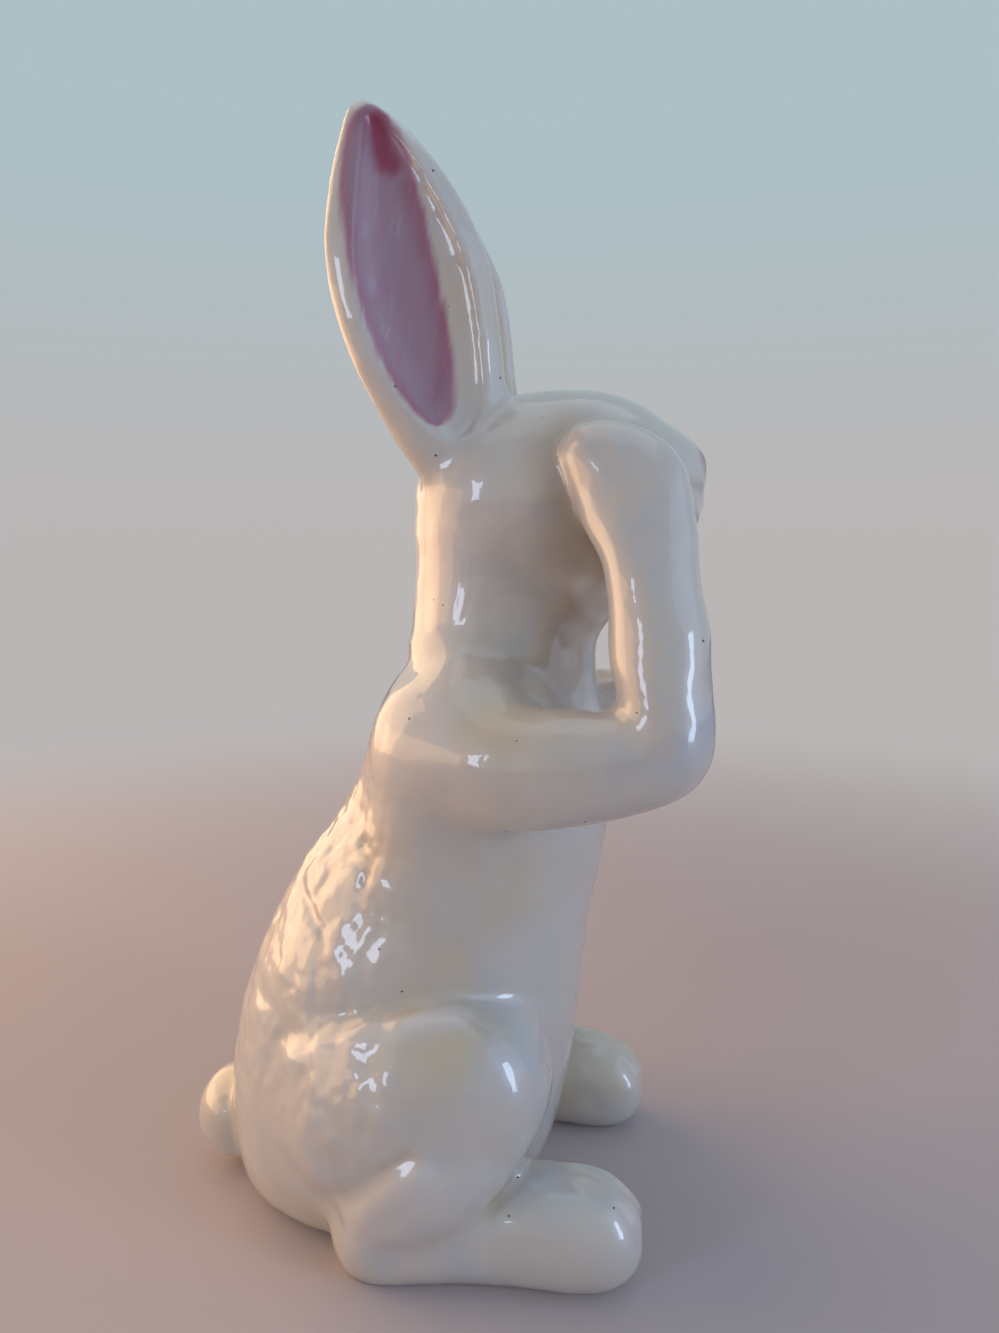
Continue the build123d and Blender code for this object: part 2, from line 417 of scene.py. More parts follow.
@dataclass
class Skin:
    """The surface of the whole figure, with what is known about each of its points."""

    points: Array
    quads: Array
    facts: dict[str, Array] = field(default_factory=dict)
    claims: Array | None = None
    edges: Array = field(init=False)
    valence: Array = field(init=False)

    def __post_init__(self) -> None:
        """Turn the quads outwards and list the edges."""
        a, b, c, d = (self.points[self.quads[:, k]] for k in range(4))
        volume = np.einsum("ij,ij->i", a, np.cross(b, c) + np.cross(c, d)).sum()
        if volume < 0:
            self.quads = self.quads[:, ::-1].copy()
        pairs = [self.quads[:, (k, (k + 1) % 4)] for k in range(4)]
        self.edges = np.unique(np.sort(np.concatenate(pairs), axis=1), axis=0)
        ends = self.edges.ravel()
        self.valence = np.bincount(ends, minlength=len(self.points)).astype(float)

    def normals(self) -> Array:
        """The outward direction at each point."""
        a, b, c, d = (self.points[self.quads[:, k]] for k in range(4))
        facing = np.cross(c - a, d - b)
        normals = np.zeros_like(self.points)
        for corner in range(4):
            for axis in range(3):
                own = self.quads[:, corner]
                normals[:, axis] += np.bincount(own, facing[:, axis], len(self.points))
        return normals / np.linalg.norm(normals, axis=1, keepdims=True)

    def average(self, values: Array) -> Array:
        """The mean of each point's neighbours, for a value or a row of values a point."""
        rows = values.reshape(len(values), -1)
        total = np.zeros_like(rows)
        for column in range(rows.shape[1]):
            for here, there in (self.edges.T, self.edges.T[::-1]):
                total[:, column] += np.bincount(here, rows[there, column], len(rows))
        total /= self.valence[:, None]
        return total.reshape(values.shape)

    def relax(self, rounds: int, pull: float = 0.5, swell: float = 0.52) -> None:
        """Even out the points: each round pulls them together and swells them out again."""
        for _ in range(rounds):
            for share in (pull, -swell):
                self.points += share * (self.average(self.points) - self.points)

    def press(self, depth: Array) -> None:
        """Push each point in by a depth along its normal."""
        self.points -= self.normals() * depth[:, None]

    def as_mesh(self, name: str) -> bpy.types.Mesh:
        """Make the whole skin a mesh that carries its facts as point attributes.

        Args:
            name: The mesh's name.

        Returns:
            The mesh.
        """
        mesh = bpy.data.meshes.new(name)
        mesh.vertices.add(len(self.points))
        mesh.vertices.foreach_set("co", self.points.astype(np.float32).ravel())
        mesh.loops.add(self.quads.size)
        mesh.loops.foreach_set("vertex_index", self.quads.astype(np.int32).ravel())
        mesh.polygons.add(len(self.quads))
        mesh.polygons.foreach_set("loop_start", np.arange(0, self.quads.size, 4, dtype=np.int32))
        mesh.update(calc_edges=True)
        for fact, values in self.facts.items():
            note_fact(mesh, fact, values)
        return mesh


class Host(Enum):
    """What a casting is: a hollow one that carries others, or a solid one stuck onto it."""

    CARRIER = "carrier"
    APPLIED = "applied"


@dataclass(frozen=True)
class Casting:
    """One casting of the figure, on the right side or in the middle, with its left twin if any.

    The places that its methods get are folded onto the right side, so that what is tooled or
    painted on a right piece is on the left one too.
    """

    nodes: tuple[str, ...]
    role: Host = Host.APPLIED
    joint_width: float = mm(3.0)
    zones: tuple[BlendZone, ...] = ()
    pads: tuple[Pad, ...] = ()

    def tooling(self, places: Array, normals: Array) -> Array:
        """How deep each point of this casting was pressed in by hand, in metres."""
        return np.zeros(len(places))

    def paint(self, places: Array, normals: Array) -> Array:
        """How far inside the pink paint each point lies: 0.5 is the edge of the brush mark."""
        return np.zeros(len(places))

    def blush(self, places: Array) -> Array:
        """Where the paint is thickest, from 0 to 1."""
        return np.zeros(len(places))

    def painted_shade_share(self, places: Array) -> Array:
        """Where warm brown shade is painted into hollows that little light reaches, from 0 to 1."""
        return np.zeros(len(places))


@dataclass(frozen=True)
class Torso(Casting):
    """The hollow torso and neck, with combed fur on its back and folds at the throat."""

    nodes: tuple[str, ...] = ("body_shell",)
    role: Host = Host.CARRIER
    fur_bottom: Span = (mm(25), mm(49))
    fur_top: Span = (mm(142), mm(122))
    fur_front: Span = (mm(-10), mm(10))
    fur_facing: Span = (-0.30, 0.10)
    nape_front: Span = (mm(-32), mm(-20))
    nape_facing: Span = (0.0, 0.7)
    neck_bottom: Span = (mm(156), mm(163))
    neck_top: Span = (mm(202), mm(186))
    neck_rise: float = mm(1.8)
    slope_bottom: Span = (mm(126), mm(144))
    slope_top: Span = (mm(158), mm(150))
    slope_rise: float = mm(0.9)
    fold_depth: float = mm(0.8)
    fold_width: float = mm(4.2)
    wrinkle_depth: float = mm(0.7)
    wrinkle_width: float = mm(3.4)
    throat_bottom: Span = (mm(128), mm(162))
    throat_top: Span = (mm(204), mm(188))

    def fur(self, places: Array, normals: Array) -> Array:
        """Where the back was dabbed and combed, from 0 to 1."""
        height = within(places[:, 2], self.fur_bottom, self.fur_top)
        return height * rise(places[:, 1], *self.fur_front) * rise(normals[:, 1], *self.fur_facing)

    def nape(self, places: Array, normals: Array) -> Array:
        """How far the nape and the slope of the shoulders stand out, in metres."""
        behind = rise(normals[:, 1], *self.nape_facing) * rise(places[:, 1], *self.nape_front)
        neck = within(places[:, 2], self.neck_bottom, self.neck_top)
        slope = within(places[:, 2], self.slope_bottom, self.slope_top)
        return behind * (self.neck_rise * neck + self.slope_rise * slope)

    def tooling(self, places: Array, normals: Array) -> Array:
        """Press the folds behind the shoulder and at the throat."""
        shoulder = [
            [(-0.0247, 0.0119, 0.1215), (-0.0220, 0.0180, 0.1137), (-0.0210, 0.0250, 0.1061)],
            [(-0.0247, 0.0119, 0.1215), (-0.0288, 0.0087, 0.1186), (-0.0324, 0.0065, 0.1130)],
            [(-0.0295, 0.0129, 0.1108), (-0.0274, 0.0197, 0.1044), (-0.0268, 0.0267, 0.0966)],
            [(-0.0295, 0.0129, 0.1108), (-0.0328, 0.0091, 0.1077), (-0.0335, 0.0109, 0.1024)],
            [(-0.0197, 0.0331, 0.0953), (-0.0283, 0.0291, 0.0912), (-0.0330, 0.0238, 0.0885)],
        ]
        throat = [(-0.016, -0.042, 0.150), (-0.012, -0.045, 0.156), (-0.011, -0.045, 0.163)]
        depth = -self.nape(places, normals)
        for path in shoulder:
            depth += groove(places, path, self.wrinkle_width, self.wrinkle_depth)
        return depth + groove(places, throat, self.fold_width, self.fold_depth)

    def painted_shade_share(self, places: Array) -> Array:
        """Painted shade on the two sides of the throat, behind the forearms."""
        return beside_throat(places) * within(places[:, 2], self.throat_bottom, self.throat_top)


@dataclass(frozen=True)
class Head(Casting):
    """The hollow head, with a painted nose, a cleft lip and a mouth below it."""

    nodes: tuple[str, ...] = ("head_shell",)
    role: Host = Host.CARRIER
    nose_place: Place = (0.0, -0.0725, 0.2100)
    nose_size: float = mm(7.0)
    nose_height: float = 0.85
    lip_depth: float = mm(0.5)
    lip_bottom: Span = (mm(192), mm(198))
    lip_top: Span = (mm(208), mm(203))
    lip_front: Span = (mm(-64), mm(-72))
    line_width: float = mm(1.7)
    line_depth: float = mm(0.8)
    nostril_width: float = mm(1.1)
    nostril_depth: float = mm(0.5)
    jaw_top: Span = (mm(192), mm(176))
    cheek_side: Span = (mm(-12), mm(-26))
    cheek_front: Span = (mm(-20), mm(-42))
    zones: tuple[BlendZone, ...] = (
        BlendZone((0.000, -0.044, 0.164), (0.060, 0.020, 0.196), mm(8), mm(5.0), mm(3)),
    )

    def tooling(self, places: Array, normals: Array) -> Array:
        """Draw the cleft of the lip, the mouth and the nostrils with a pointed tool."""
        x, y, z = self.nose_place
        cleft = [(x, y - mm(1.5), z - mm(4.0)), (x, y + mm(1.0), z - mm(10.5))]
        mouth = [
            (x, y + mm(1.0), z - mm(10.5)),
            (x - mm(4.5), y + mm(3.0), z - mm(13.5)),
            (x - mm(9.5), y + mm(8.0), z - mm(14.0)),
            (x - mm(13.0), y + mm(14.0), z - mm(12.5)),
        ]
        nostril = [(x - mm(1.6), y - mm(2.6), z + mm(0.2)), (x - mm(3.0), y - mm(1.2), z + mm(1.2))]
        depth = groove(places, nostril, self.nostril_width, self.nostril_depth)
        for line in (cleft, mouth):
            depth = np.maximum(depth, groove(places, line, self.line_width, self.line_depth))
        lips = within(places[:, 2], self.lip_bottom, self.lip_top)
        return depth + self.lip_depth * lips * rise(places[:, 1], *self.lip_front)

    def painted_shade_share(self, places: Array) -> Array:
        """Painted shade at the two ends of the jaw, and on the cheeks behind the paws."""
        jaw = beside_throat(places) * rise(places[:, 2], *self.jaw_top)
        cheek = rise(places[:, 0], *self.cheek_side) * rise(places[:, 1], *self.cheek_front)
        return np.maximum(jaw, cheek)

    def paint(self, places: Array, normals: Array) -> Array:
        """The pink spot on the nose."""
        away = (places - np.array(self.nose_place)) / (1.0, 1.0, self.nose_height)
        gap = np.linalg.norm(away, axis=1)
        return np.clip(1.0 - 0.5 * gap / self.nose_size, 0.0, 1.0)


@dataclass(frozen=True)
class Ears(Casting):
    """The two ears, each with a pink leaf brushed into its scoop.

    The foot and the tip of the leaf are given by their Y and Z.
    """

    nodes: tuple[str, ...] = ("right_ear", "left_ear")
    joint_width: float = mm(3.5)
    leaf_foot: tuple[float, float] = (-0.0060, 0.2195)
    leaf_tip: tuple[float, float] = (0.0100, 0.2985)
    leaf_bow: float = mm(10.5)
    leaf_half_width: float = mm(10.7)
    leaf_roundness: float = 2.6
    scoop_facing: Span = (0.1, -0.25)
    brush_edge: float = mm(10.0)
    blush_size: float = mm(6.5)
    edge_blush: float = 0.45

    def leaf_depth(self, places: Array) -> Array:
        """How far inside the leaf's outline each point lies, in metres, negative outside."""
        foot, tip = np.array(self.leaf_foot), np.array(self.leaf_tip)
        up = (places[:, 2] - foot[1]) / (tip[1] - foot[1])
        inside = np.clip(up, 0.0, 1.0)
        middle = foot[0] + (tip[0] - foot[0]) * inside + self.leaf_bow * inside * (1.0 - inside)
        taper = np.sqrt(1.0 - np.abs(2.0 * inside - 1.0) ** self.leaf_roundness)
        beyond = np.abs(up - inside) * (tip[1] - foot[1])
        return taper * self.leaf_half_width - np.abs(places[:, 1] - middle) - beyond

    def paint(self, places: Array, normals: Array) -> Array:
        """The pink leaf in the scoop, pointed at the tip and round below."""
        inside = 0.5 + self.leaf_depth(places) / self.brush_edge
        return np.clip(inside, 0.0, 1.0) * rise(normals[:, 0], *self.scoop_facing)

    def blush(self, places: Array) -> Array:
        """Where the brush left its fullest touch of paint, at the tip and down the front edge."""
        flat = places * (0.0, 1.0, 1.0)
        tip = [(0.0, 0.0092, 0.2935), (0.0, 0.0060, 0.2845)]
        front = ((0.0015, 0.2790), (-0.0035, 0.2600), (-0.0072, 0.2400), (-0.0055, 0.2270))
        edge = [(0.0, y, z) for y, z in front]
        at_tip = groove(flat, tip, self.blush_size, 1.0)
        return np.maximum(at_tip, groove(flat, edge, self.blush_size, self.edge_blush))


@dataclass(frozen=True)
class Arms(Casting):
    """The two bent arms, with three shallow finger marks on each paw.

    Their pads are the padding over the shoulders and the fold under the chin.
    """

    nodes: tuple[str, ...] = ("right_arm", "left_arm")
    joint_width: float = mm(2.5)
    finger_width: float = mm(3.0)
    finger_depth: float = mm(0.30)
    crook_width: float = mm(4)
    crook_depth: float = mm(0.9)
    zones: tuple[BlendZone, ...] = (
        BlendZone((0.010, -0.022, 0.104), (0.060, 0.044, 0.176), mm(12), mm(4.0), mm(12)),
        BlendZone((0.000, -0.060, 0.140), (0.046, -0.038, 0.180), mm(6), mm(1.6), mm(13)),
    )
    pads: tuple[Pad, ...] = (
        Pad((0.0215, -0.0100, 0.1330), (0.0200, 0.0190, 0.0240), mm(12)),
        Pad((0.0240, -0.0010, 0.1215), (0.0120, 0.0080, 0.0180), mm(12)),
        Pad((0.0300, -0.0190, 0.1490), (0.0090, 0.0120, 0.0090), mm(10)),
        Pad((0.0000, -0.0450, 0.1800), (0.0190, 0.0080, 0.0100), mm(12)),
    )

    def tooling(self, places: Array, normals: Array) -> Array:
        """Press the fingers and the crook of the elbow."""
        depth = np.zeros(len(places))
        for shift in DIGIT_SHIFTS:
            finger = [
                (-0.034, -0.052 + 0.75 * shift, 0.2195 - 0.55 * shift),
                (-0.040, -0.057 + 0.80 * shift, 0.2080 - 0.45 * shift),
            ]
            depth = np.maximum(depth, groove(places, finger, self.finger_width, self.finger_depth))
        crook = [(-0.043, -0.049, 0.152), (-0.036, -0.047, 0.150)]
        return depth + groove(places, crook, self.crook_width, self.crook_depth)


@dataclass(frozen=True)
class Haunches(Casting):
    """The two thighs, which run smoothly into the rump behind and are creased in front."""

    nodes: tuple[str, ...] = ("right_haunch", "left_haunch")
    joint_width: float = mm(3.2)
    dimples: tuple[tuple[Place, float], ...] = (
        ((-0.052, 0.014, 0.050), mm(9)),
        ((-0.054, 0.005, 0.046), mm(7)),
        ((-0.050, 0.020, 0.037), mm(7)),
        ((-0.052, 0.012, 0.038), mm(6)),
    )
    dimple_length: float = mm(1.0)
    dimple_depth: float = mm(0.7)
    fold_width: float = mm(5.0)
    fold_depth: float = mm(1.1)
    shin_width: float = mm(9.0)
    shin_rise: float = mm(1.3)
    brow_width: float = mm(7.0)
    brow_rise: float = mm(1.1)
    brow_fold_depth: float = mm(0.7)
    zones: tuple[BlendZone, ...] = (
        BlendZone((0.020, 0.010, -0.010), (0.070, 0.060, 0.062), mm(12), mm(6.0), mm(12)),
        BlendZone((0.012, -0.056, 0.024), (0.036, -0.016, 0.070), mm(5), mm(2.2), mm(6)),
    )

    def tooling(self, places: Array, normals: Array) -> Array:
        """Press the thumb marks, and a fold beside a raised brow and beside the raised shin."""
        depth = np.zeros(len(places))
        for (x, y, z), width in self.dimples:
            mark = [(x, y, z), (x, y + self.dimple_length, z)]
            depth += groove(places, mark, width, self.dimple_depth)
        fold = [(-0.0525, 0.0110, 0.0275), (-0.0574, 0.0018, 0.0379), (-0.0588, -0.0045, 0.0420)]
        shin = [(-0.0515, 0.0105, 0.0180), (-0.0575, 0.0015, 0.0300), (-0.0590, -0.0075, 0.0375)]
        brow_fold = [(-0.0370, 0.0320, 0.0600), (-0.0430, 0.0160, 0.0680), (-0.0430, 0.0003, 0.0740)]
        brow = [
            (-0.0410, 0.0290, 0.0565),
            (-0.0460, 0.0155, 0.0620),
            (-0.0470, 0.0000, 0.0690),
            (-0.0435, -0.0140, 0.0710),
        ]
        depth += groove(places, fold, self.fold_width, self.fold_depth)
        depth += groove(places, brow_fold, self.brow_width, self.brow_fold_depth)
        depth -= groove(places, brow, self.brow_width, self.brow_rise)
        return depth - groove(places, shin, self.shin_width, self.shin_rise)


@dataclass(frozen=True)
class Feet(Casting):
    """The two long feet, each with a shank and three marks between its toes."""

    nodes: tuple[str, ...] = ("right_foot", "left_foot")
    joint_width: float = mm(8.0)
    toe_width: float = mm(2.8)
    toe_depth: float = mm(0.6)
    zones: tuple[BlendZone, ...] = (
        BlendZone((0.020, -0.019, 0.004), (0.070, 0.010, 0.046), mm(6), mm(3.0), mm(12)),
    )

    def tooling(self, places: Array, normals: Array) -> Array:
        """Press the marks between the toes."""
        depth = np.zeros(len(places))
        for shift in DIGIT_SHIFTS:
            x = -0.037 + shift
            mark = [(x + mm(1.5), -0.046, 0.030), (x, -0.0555, 0.026), (x - mm(0.5), -0.062, 0.014)]
            depth = np.maximum(depth, groove(places, mark, self.toe_width, self.toe_depth))
        return depth


@dataclass(frozen=True)
class Tail(Casting):
    """The ball of the tail."""

    nodes: tuple[str, ...] = ("tail",)
    joint_width: float = mm(3.0)


def joined(first: Array, second: Array, width: Array, reach: float) -> Array:
    """Join two blocks of distances, with slip filling the crease between the two solids.

    Args:
        first: The distances to the first solid.
        second: The distances to the second solid.
        width: How near to both a place is that the slip fills.
        reach: The largest distance that a block holds. Nothing is filled past half of it.

    Returns:
        The distances to the joined solid.
    """
    nearer = np.minimum(first, second)
    shared = np.maximum(width - np.abs(first - second), 0.0) / width
    shared[nearer > 0.5 * reach] = 0.0
    return nearer - 0.25 * width * shared * shared


@dataclass
class Figure:
    """The whole rabbit: its castings, and the skin that is drawn over them.

    The depths of the hollow and of the pour hole are given as shares of the wall, and the step
    that is taken outside the clay as a share of a cell.
    """

    castings: tuple[Casting, ...]
    cell: float = mm(0.8)
    softness: float = mm(0.85)
    relax_rounds: int = 3
    claim_rounds: int = 8
    wall: float = mm(4.5)
    hollow_depth: float = 0.4
    drained_depth: float = 0.5
    pour_hole_place: tuple[float, float] = (0.0, 0.01575)
    pour_hole_radius: float = mm(10.0)
    pour_hole_depth: float = 1.6
    plug_sides: int = 48
    plug_overlap: float = 1.1
    outside_step: float = 0.4
    pooling_spread: float = mm(2.2)
    pooling_swing: float = mm(0.8)
    # The wide hollows that get painted shade: how widely they are measured, and how deep one must be
    # for full shade
    painted_shade_spread: float = mm(7.0)
    painted_shade_swing: float = mm(4.0)
    still_height: Span = (mm(0.3), mm(2.0))
    tool_pooling: float = 0.7
    tool_swing: float = mm(0.8)
    # How strongly brown shade is painted behind the forearms and under the jaw
    painted_shade_level: float = 0.37

    def parts(self) -> list[tuple[Casting, str]]:
        """Every node with the casting that it belongs to."""
        return [(casting, node) for casting in self.castings for node in casting.nodes]

    def mould(self) -> Skin:
        """Draw the skin over all castings and note what is known about each of its points.

        Returns:
            The skin, with its claims and the facts owner, hollow, pooling and painted shade.
        """
        low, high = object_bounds()
        block = DistanceBlock(low, high, self.cell)
        whole = self.filled(block)
        owner = np.zeros(block.values.shape, np.int8)
        nearest = block.values.copy()
        shells = block.values.copy()
        block.values = whole.copy()
        names = [node for _, node in self.parts()]
        for casting in self.castings:
            for node in casting.nodes:
                place, part = block.distances(*solid_of(node))
                owner[place][part < nearest[place]] = names.index(node)
                nearest[place] = np.minimum(nearest[place], part)
                if casting.role is Host.CARRIER:
                    shells[place] = np.minimum(shells[place], part)
                else:
                    width = self.joint_widths(block, casting)[place]
                    block.values[place] = joined(block.values[place], part, width, block.reach)
            for pad in casting.pads:
                lump = np.clip(pad.distances(block.axes), -block.reach, block.reach)
                width = np.float32(pad.joint_width)
                block.values = joined(block.values, lump, width, block.reach)
            self.smooth_zones(block, casting)
        block.values = np.maximum(block.values, -self.drained(block, whole, shells))
        block.values = block.soften(block.values, self.softness)
        skin = Skin(*block.surface())
        skin.relax(self.relax_rounds)
        self.note_owners(skin, block, owner)
        deep = block.sample(whole, skin.points)
        skin.facts["hollow"] = (deep < -self.hollow_depth * self.wall).astype(float)
        # A narrow measure for glaze that pooled in creases, and a wide one for shade painted into
        # hollows
        for fact, spread, swing in (
            ("pooling", self.pooling_spread, self.pooling_swing),
            ("shelter", self.painted_shade_spread, self.painted_shade_swing),
        ):
            level = -block.sample(block.blur(block.values, spread), skin.points) / swing
            skin.facts[fact] = np.clip(level, -1.0, 1.0)
        return skin

    def joint_widths(self, block: DistanceBlock, casting: Casting) -> Array:
        """How widely slip fills a casting's joint at each place of the block."""
        widths = np.full(block.values.shape, casting.joint_width, np.float32)
        for zone in casting.zones:
            weight = zone.weight(block.axes).astype(np.float32)
            widths += (zone.joint_width - casting.joint_width) * weight
        return widths

    def smooth_zones(self, block: DistanceBlock, casting: Casting) -> None:
        """Smooth a casting's joints widely inside its zones."""
        for zone in casting.zones:
            weight = zone.weight(block.axes)
            inside = [np.flatnonzero(weight.any(axis=tuple({0, 1, 2} - {a}))) for a in range(3)]
            place = tuple(slice(row[0], row[-1] + 1) for row in inside)
            soft = block.soften(block.values[place], zone.spread)
            share = weight[place].astype(np.float32)
            block.values[place] += share * (soft - block.values[place])

    def drained(self, block: DistanceBlock, whole: Array, shells: Array) -> Array:
        """The distances to the hollow that the slip was drained from, and to its pour hole.

        Args:
            block: The block of space.
            whole: The distances to the torso and head as if they were solid.
            shells: The distances to the torso and head as they are.

        Returns:
            The distances to the hollow, negative inside it.
        """
        hollow = np.maximum(whole + self.drained_depth * self.wall, -shells)
        xs, ys, zs = block.axes
        beside_x = xs[:, None, None] - self.pour_hole_place[0]
        beside_y = ys[None, :, None] - self.pour_hole_place[1]
        above = zs[None, None, :] - self.pour_hole_depth * self.wall
        pour_hole = np.maximum(np.hypot(beside_x, beside_y) - self.pour_hole_radius, above)
        return np.minimum(hollow, pour_hole).astype(np.float32)

    def filled(self, block: DistanceBlock) -> Array:
        """The distances to the torso and head as if they were solid, with the pour hole shut.

        Args:
            block: The block of space.

        Returns:
            The distances, measured from the outside alone.
        """
        solids = (solid_of("body_shell"), solid_of("head_shell"), self.plug())
        shut = replace(block)
        place, part = shut.distances(*merged(solids))
        shut.values[place] = part
        step = self.outside_step * self.cell
        outside, quads = shut.surface(step)
        halves = np.concatenate([quads[:, (0, 1, 2)], quads[:, (0, 2, 3)]])
        place, part = block.distances(outside, halves)
        whole = np.full_like(block.values, block.reach)
        whole[place] = part + step
        return whole

    def plug(self) -> Solid:
        """A round plug that shuts the pour hole.

        Returns:
            Its points and its triangles.
        """
        sides = self.plug_sides
        turns = np.linspace(0.0, 2.0 * math.pi, sides, endpoint=False)
        rim = np.stack([np.cos(turns), np.sin(turns)], axis=1)
        rim = rim * self.plug_overlap * self.pour_hole_radius + self.pour_hole_place
        flat = np.concatenate([rim, [self.pour_hole_place]])
        levels = [np.column_stack([flat, np.full(sides + 1, z)]) for z in (0.0, self.wall)]
        points = np.concatenate(levels)
        here = np.arange(sides)
        after = (here + 1) % sides
        above = sides + 1
        middle = np.full(sides, sides)
        corners = (
            (here, after, after + above),
            (here, after + above, here + above),
            (after, here, middle),
            (here + above, after + above, middle + above),
        )
        return points.astype(np.float32), np.concatenate([np.stack(c, axis=1) for c in corners])

    def note_owners(self, skin: Skin, block: DistanceBlock, owner: Array) -> None:
        """Note which node each point of the skin belongs to, with smooth borders."""
        at = np.rint(skin.points / block.cell).astype(int) - block.first
        owners = owner[at[:, 0], at[:, 1], at[:, 2]]
        claims = np.eye(len(self.parts()))[owners]
        for _ in range(self.claim_rounds):
            claims = 0.5 * claims + 0.5 * skin.average(claims)
        skin.facts["owner"] = claims.argmax(axis=1)
        skin.claims = claims

    def tool(self, skin: Skin) -> None:
        """Press in every casting's marks and note the facts still, paint, blush and fur."""
        places = to_right_side(skin.points)
        facing = skin.normals()
        facing[:, 0] *= -np.sign(skin.points[:, 0])
        outside = 1.0 - skin.facts["hollow"]
        skin.facts["still"] = outside * rise(skin.points[:, 2], *self.still_height)
        for fact in ("paint", "blush", "fur"):
            skin.facts[fact] = np.zeros(len(places))
        names = [node for _, node in self.parts()]
        depth = np.zeros(len(places))
        for casting in self.castings:
            own = np.isin(skin.facts["owner"], [names.index(node) for node in casting.nodes])
            depth += casting.tooling(places, facing)
            skin.facts["paint"][own] = casting.paint(places[own], facing[own])
            skin.facts["blush"][own] = casting.blush(places[own])
            # Brown shade is painted deeper still beside the throat, at the jaw and on the cheeks
            painted_shade_share = self.painted_shade_level * casting.painted_shade_share(places[own])
            skin.facts["shelter"][own] = np.maximum(skin.facts["shelter"][own], painted_shade_share)
            if isinstance(casting, Torso):
                skin.facts["fur"] = casting.fur(places, facing) * outside
        skin.press(depth * skin.facts["still"])
        pooling = skin.facts["pooling"] + self.tool_pooling * depth / self.tool_swing
        skin.facts["pooling"] = np.clip(pooling, -1.0, 1.0) * outside


def add_node(
    tree: bpy.types.NodeTree,
    kind: str,
    inputs: dict[str | int, object] | None = None,
    **settings: object,
) -> bpy.types.Node:
    """Add a node with its settings, its values and its links.

    Args:
        tree: The tree that gets the node.
        kind: Blender's name for the kind of node.
        inputs: For each input, by its name or number, a value, another node's output, or
            another node whose first output is meant.
        **settings: The node's own settings.

    Returns:
        The node.
    """
    node = tree.nodes.new(kind)
    for name, value in settings.items():
        setattr(node, name, value)
    for socket, value in (inputs or {}).items():
        if isinstance(value, bpy.types.Node):
            value = value.outputs[0]
        if isinstance(value, bpy.types.NodeSocket):
            tree.links.new(value, node.inputs[socket])
        else:
            node.inputs[socket].default_value = value
    return node


# The kind of socket that brings in a value of each type
SOCKET_KINDS = {
    float: "NodeSocketFloat",
    int: "NodeSocketInt",
    bpy.types.Material: "NodeSocketMaterial",
}


def new_tree(name: str, sizes: dict[str, object]) -> tuple[bpy.types.NodeTree, bpy.types.Node]:
    """Start a Geometry Nodes tree with a geometry and named sizes coming in.

    Args:
        name: The tree's name.
        sizes: The value of each named input, which decides the kind of its socket.

    Returns:
        The tree and the node that its inputs come out of.
    """
    tree = bpy.data.node_groups.new(name, "GeometryNodeTree")
    tree.interface.new_socket("Geometry", in_out="INPUT", socket_type="NodeSocketGeometry")
    for size, value in sizes.items():
        tree.interface.new_socket(size, in_out="INPUT", socket_type=SOCKET_KINDS[type(value)])
    tree.interface.new_socket("Geometry", in_out="OUTPUT", socket_type="NodeSocketGeometry")
    return tree, add_node(tree, "NodeGroupInput")


def close_tree(tree: bpy.types.NodeTree, geometry: Source, material: Source) -> None:
    """End a tree by making its copies real and giving them their material."""
    real = add_node(tree, "GeometryNodeRealizeInstances", {0: geometry})
    painted = add_node(tree, "GeometryNodeSetMaterial", {"Geometry": real, "Material": material})
    add_node(tree, "NodeGroupOutput", {"Geometry": painted})


def run_tree(
    tree: bpy.types.NodeTree, mesh: bpy.types.Mesh, name: str, sizes: dict[str, object]
) -> bpy.types.Mesh:
    """Run a tree once on a mesh.

    Args:
        tree: The tree.
        mesh: The mesh that goes in.
        name: The name of the mesh that comes out.
        sizes: The value of each named input.

    Returns:
        The finished mesh.
    """
    carrier = into_scene(name, mesh)
    modifier = carrier.modifiers.new(tree.name, "NODES")
    modifier.node_group = tree
    for item in tree.interface.items_tree:
        if item.in_out == "INPUT" and item.name in sizes:
            modifier[item.identifier] = sizes[item.name]
    graph = bpy.context.evaluated_depsgraph_get()
    result = bpy.data.meshes.new_from_object(
        carrier.evaluated_get(graph), preserve_all_data_layers=True, depsgraph=graph
    )
    result.name = name
    bpy.data.objects.remove(carrier)
    return result


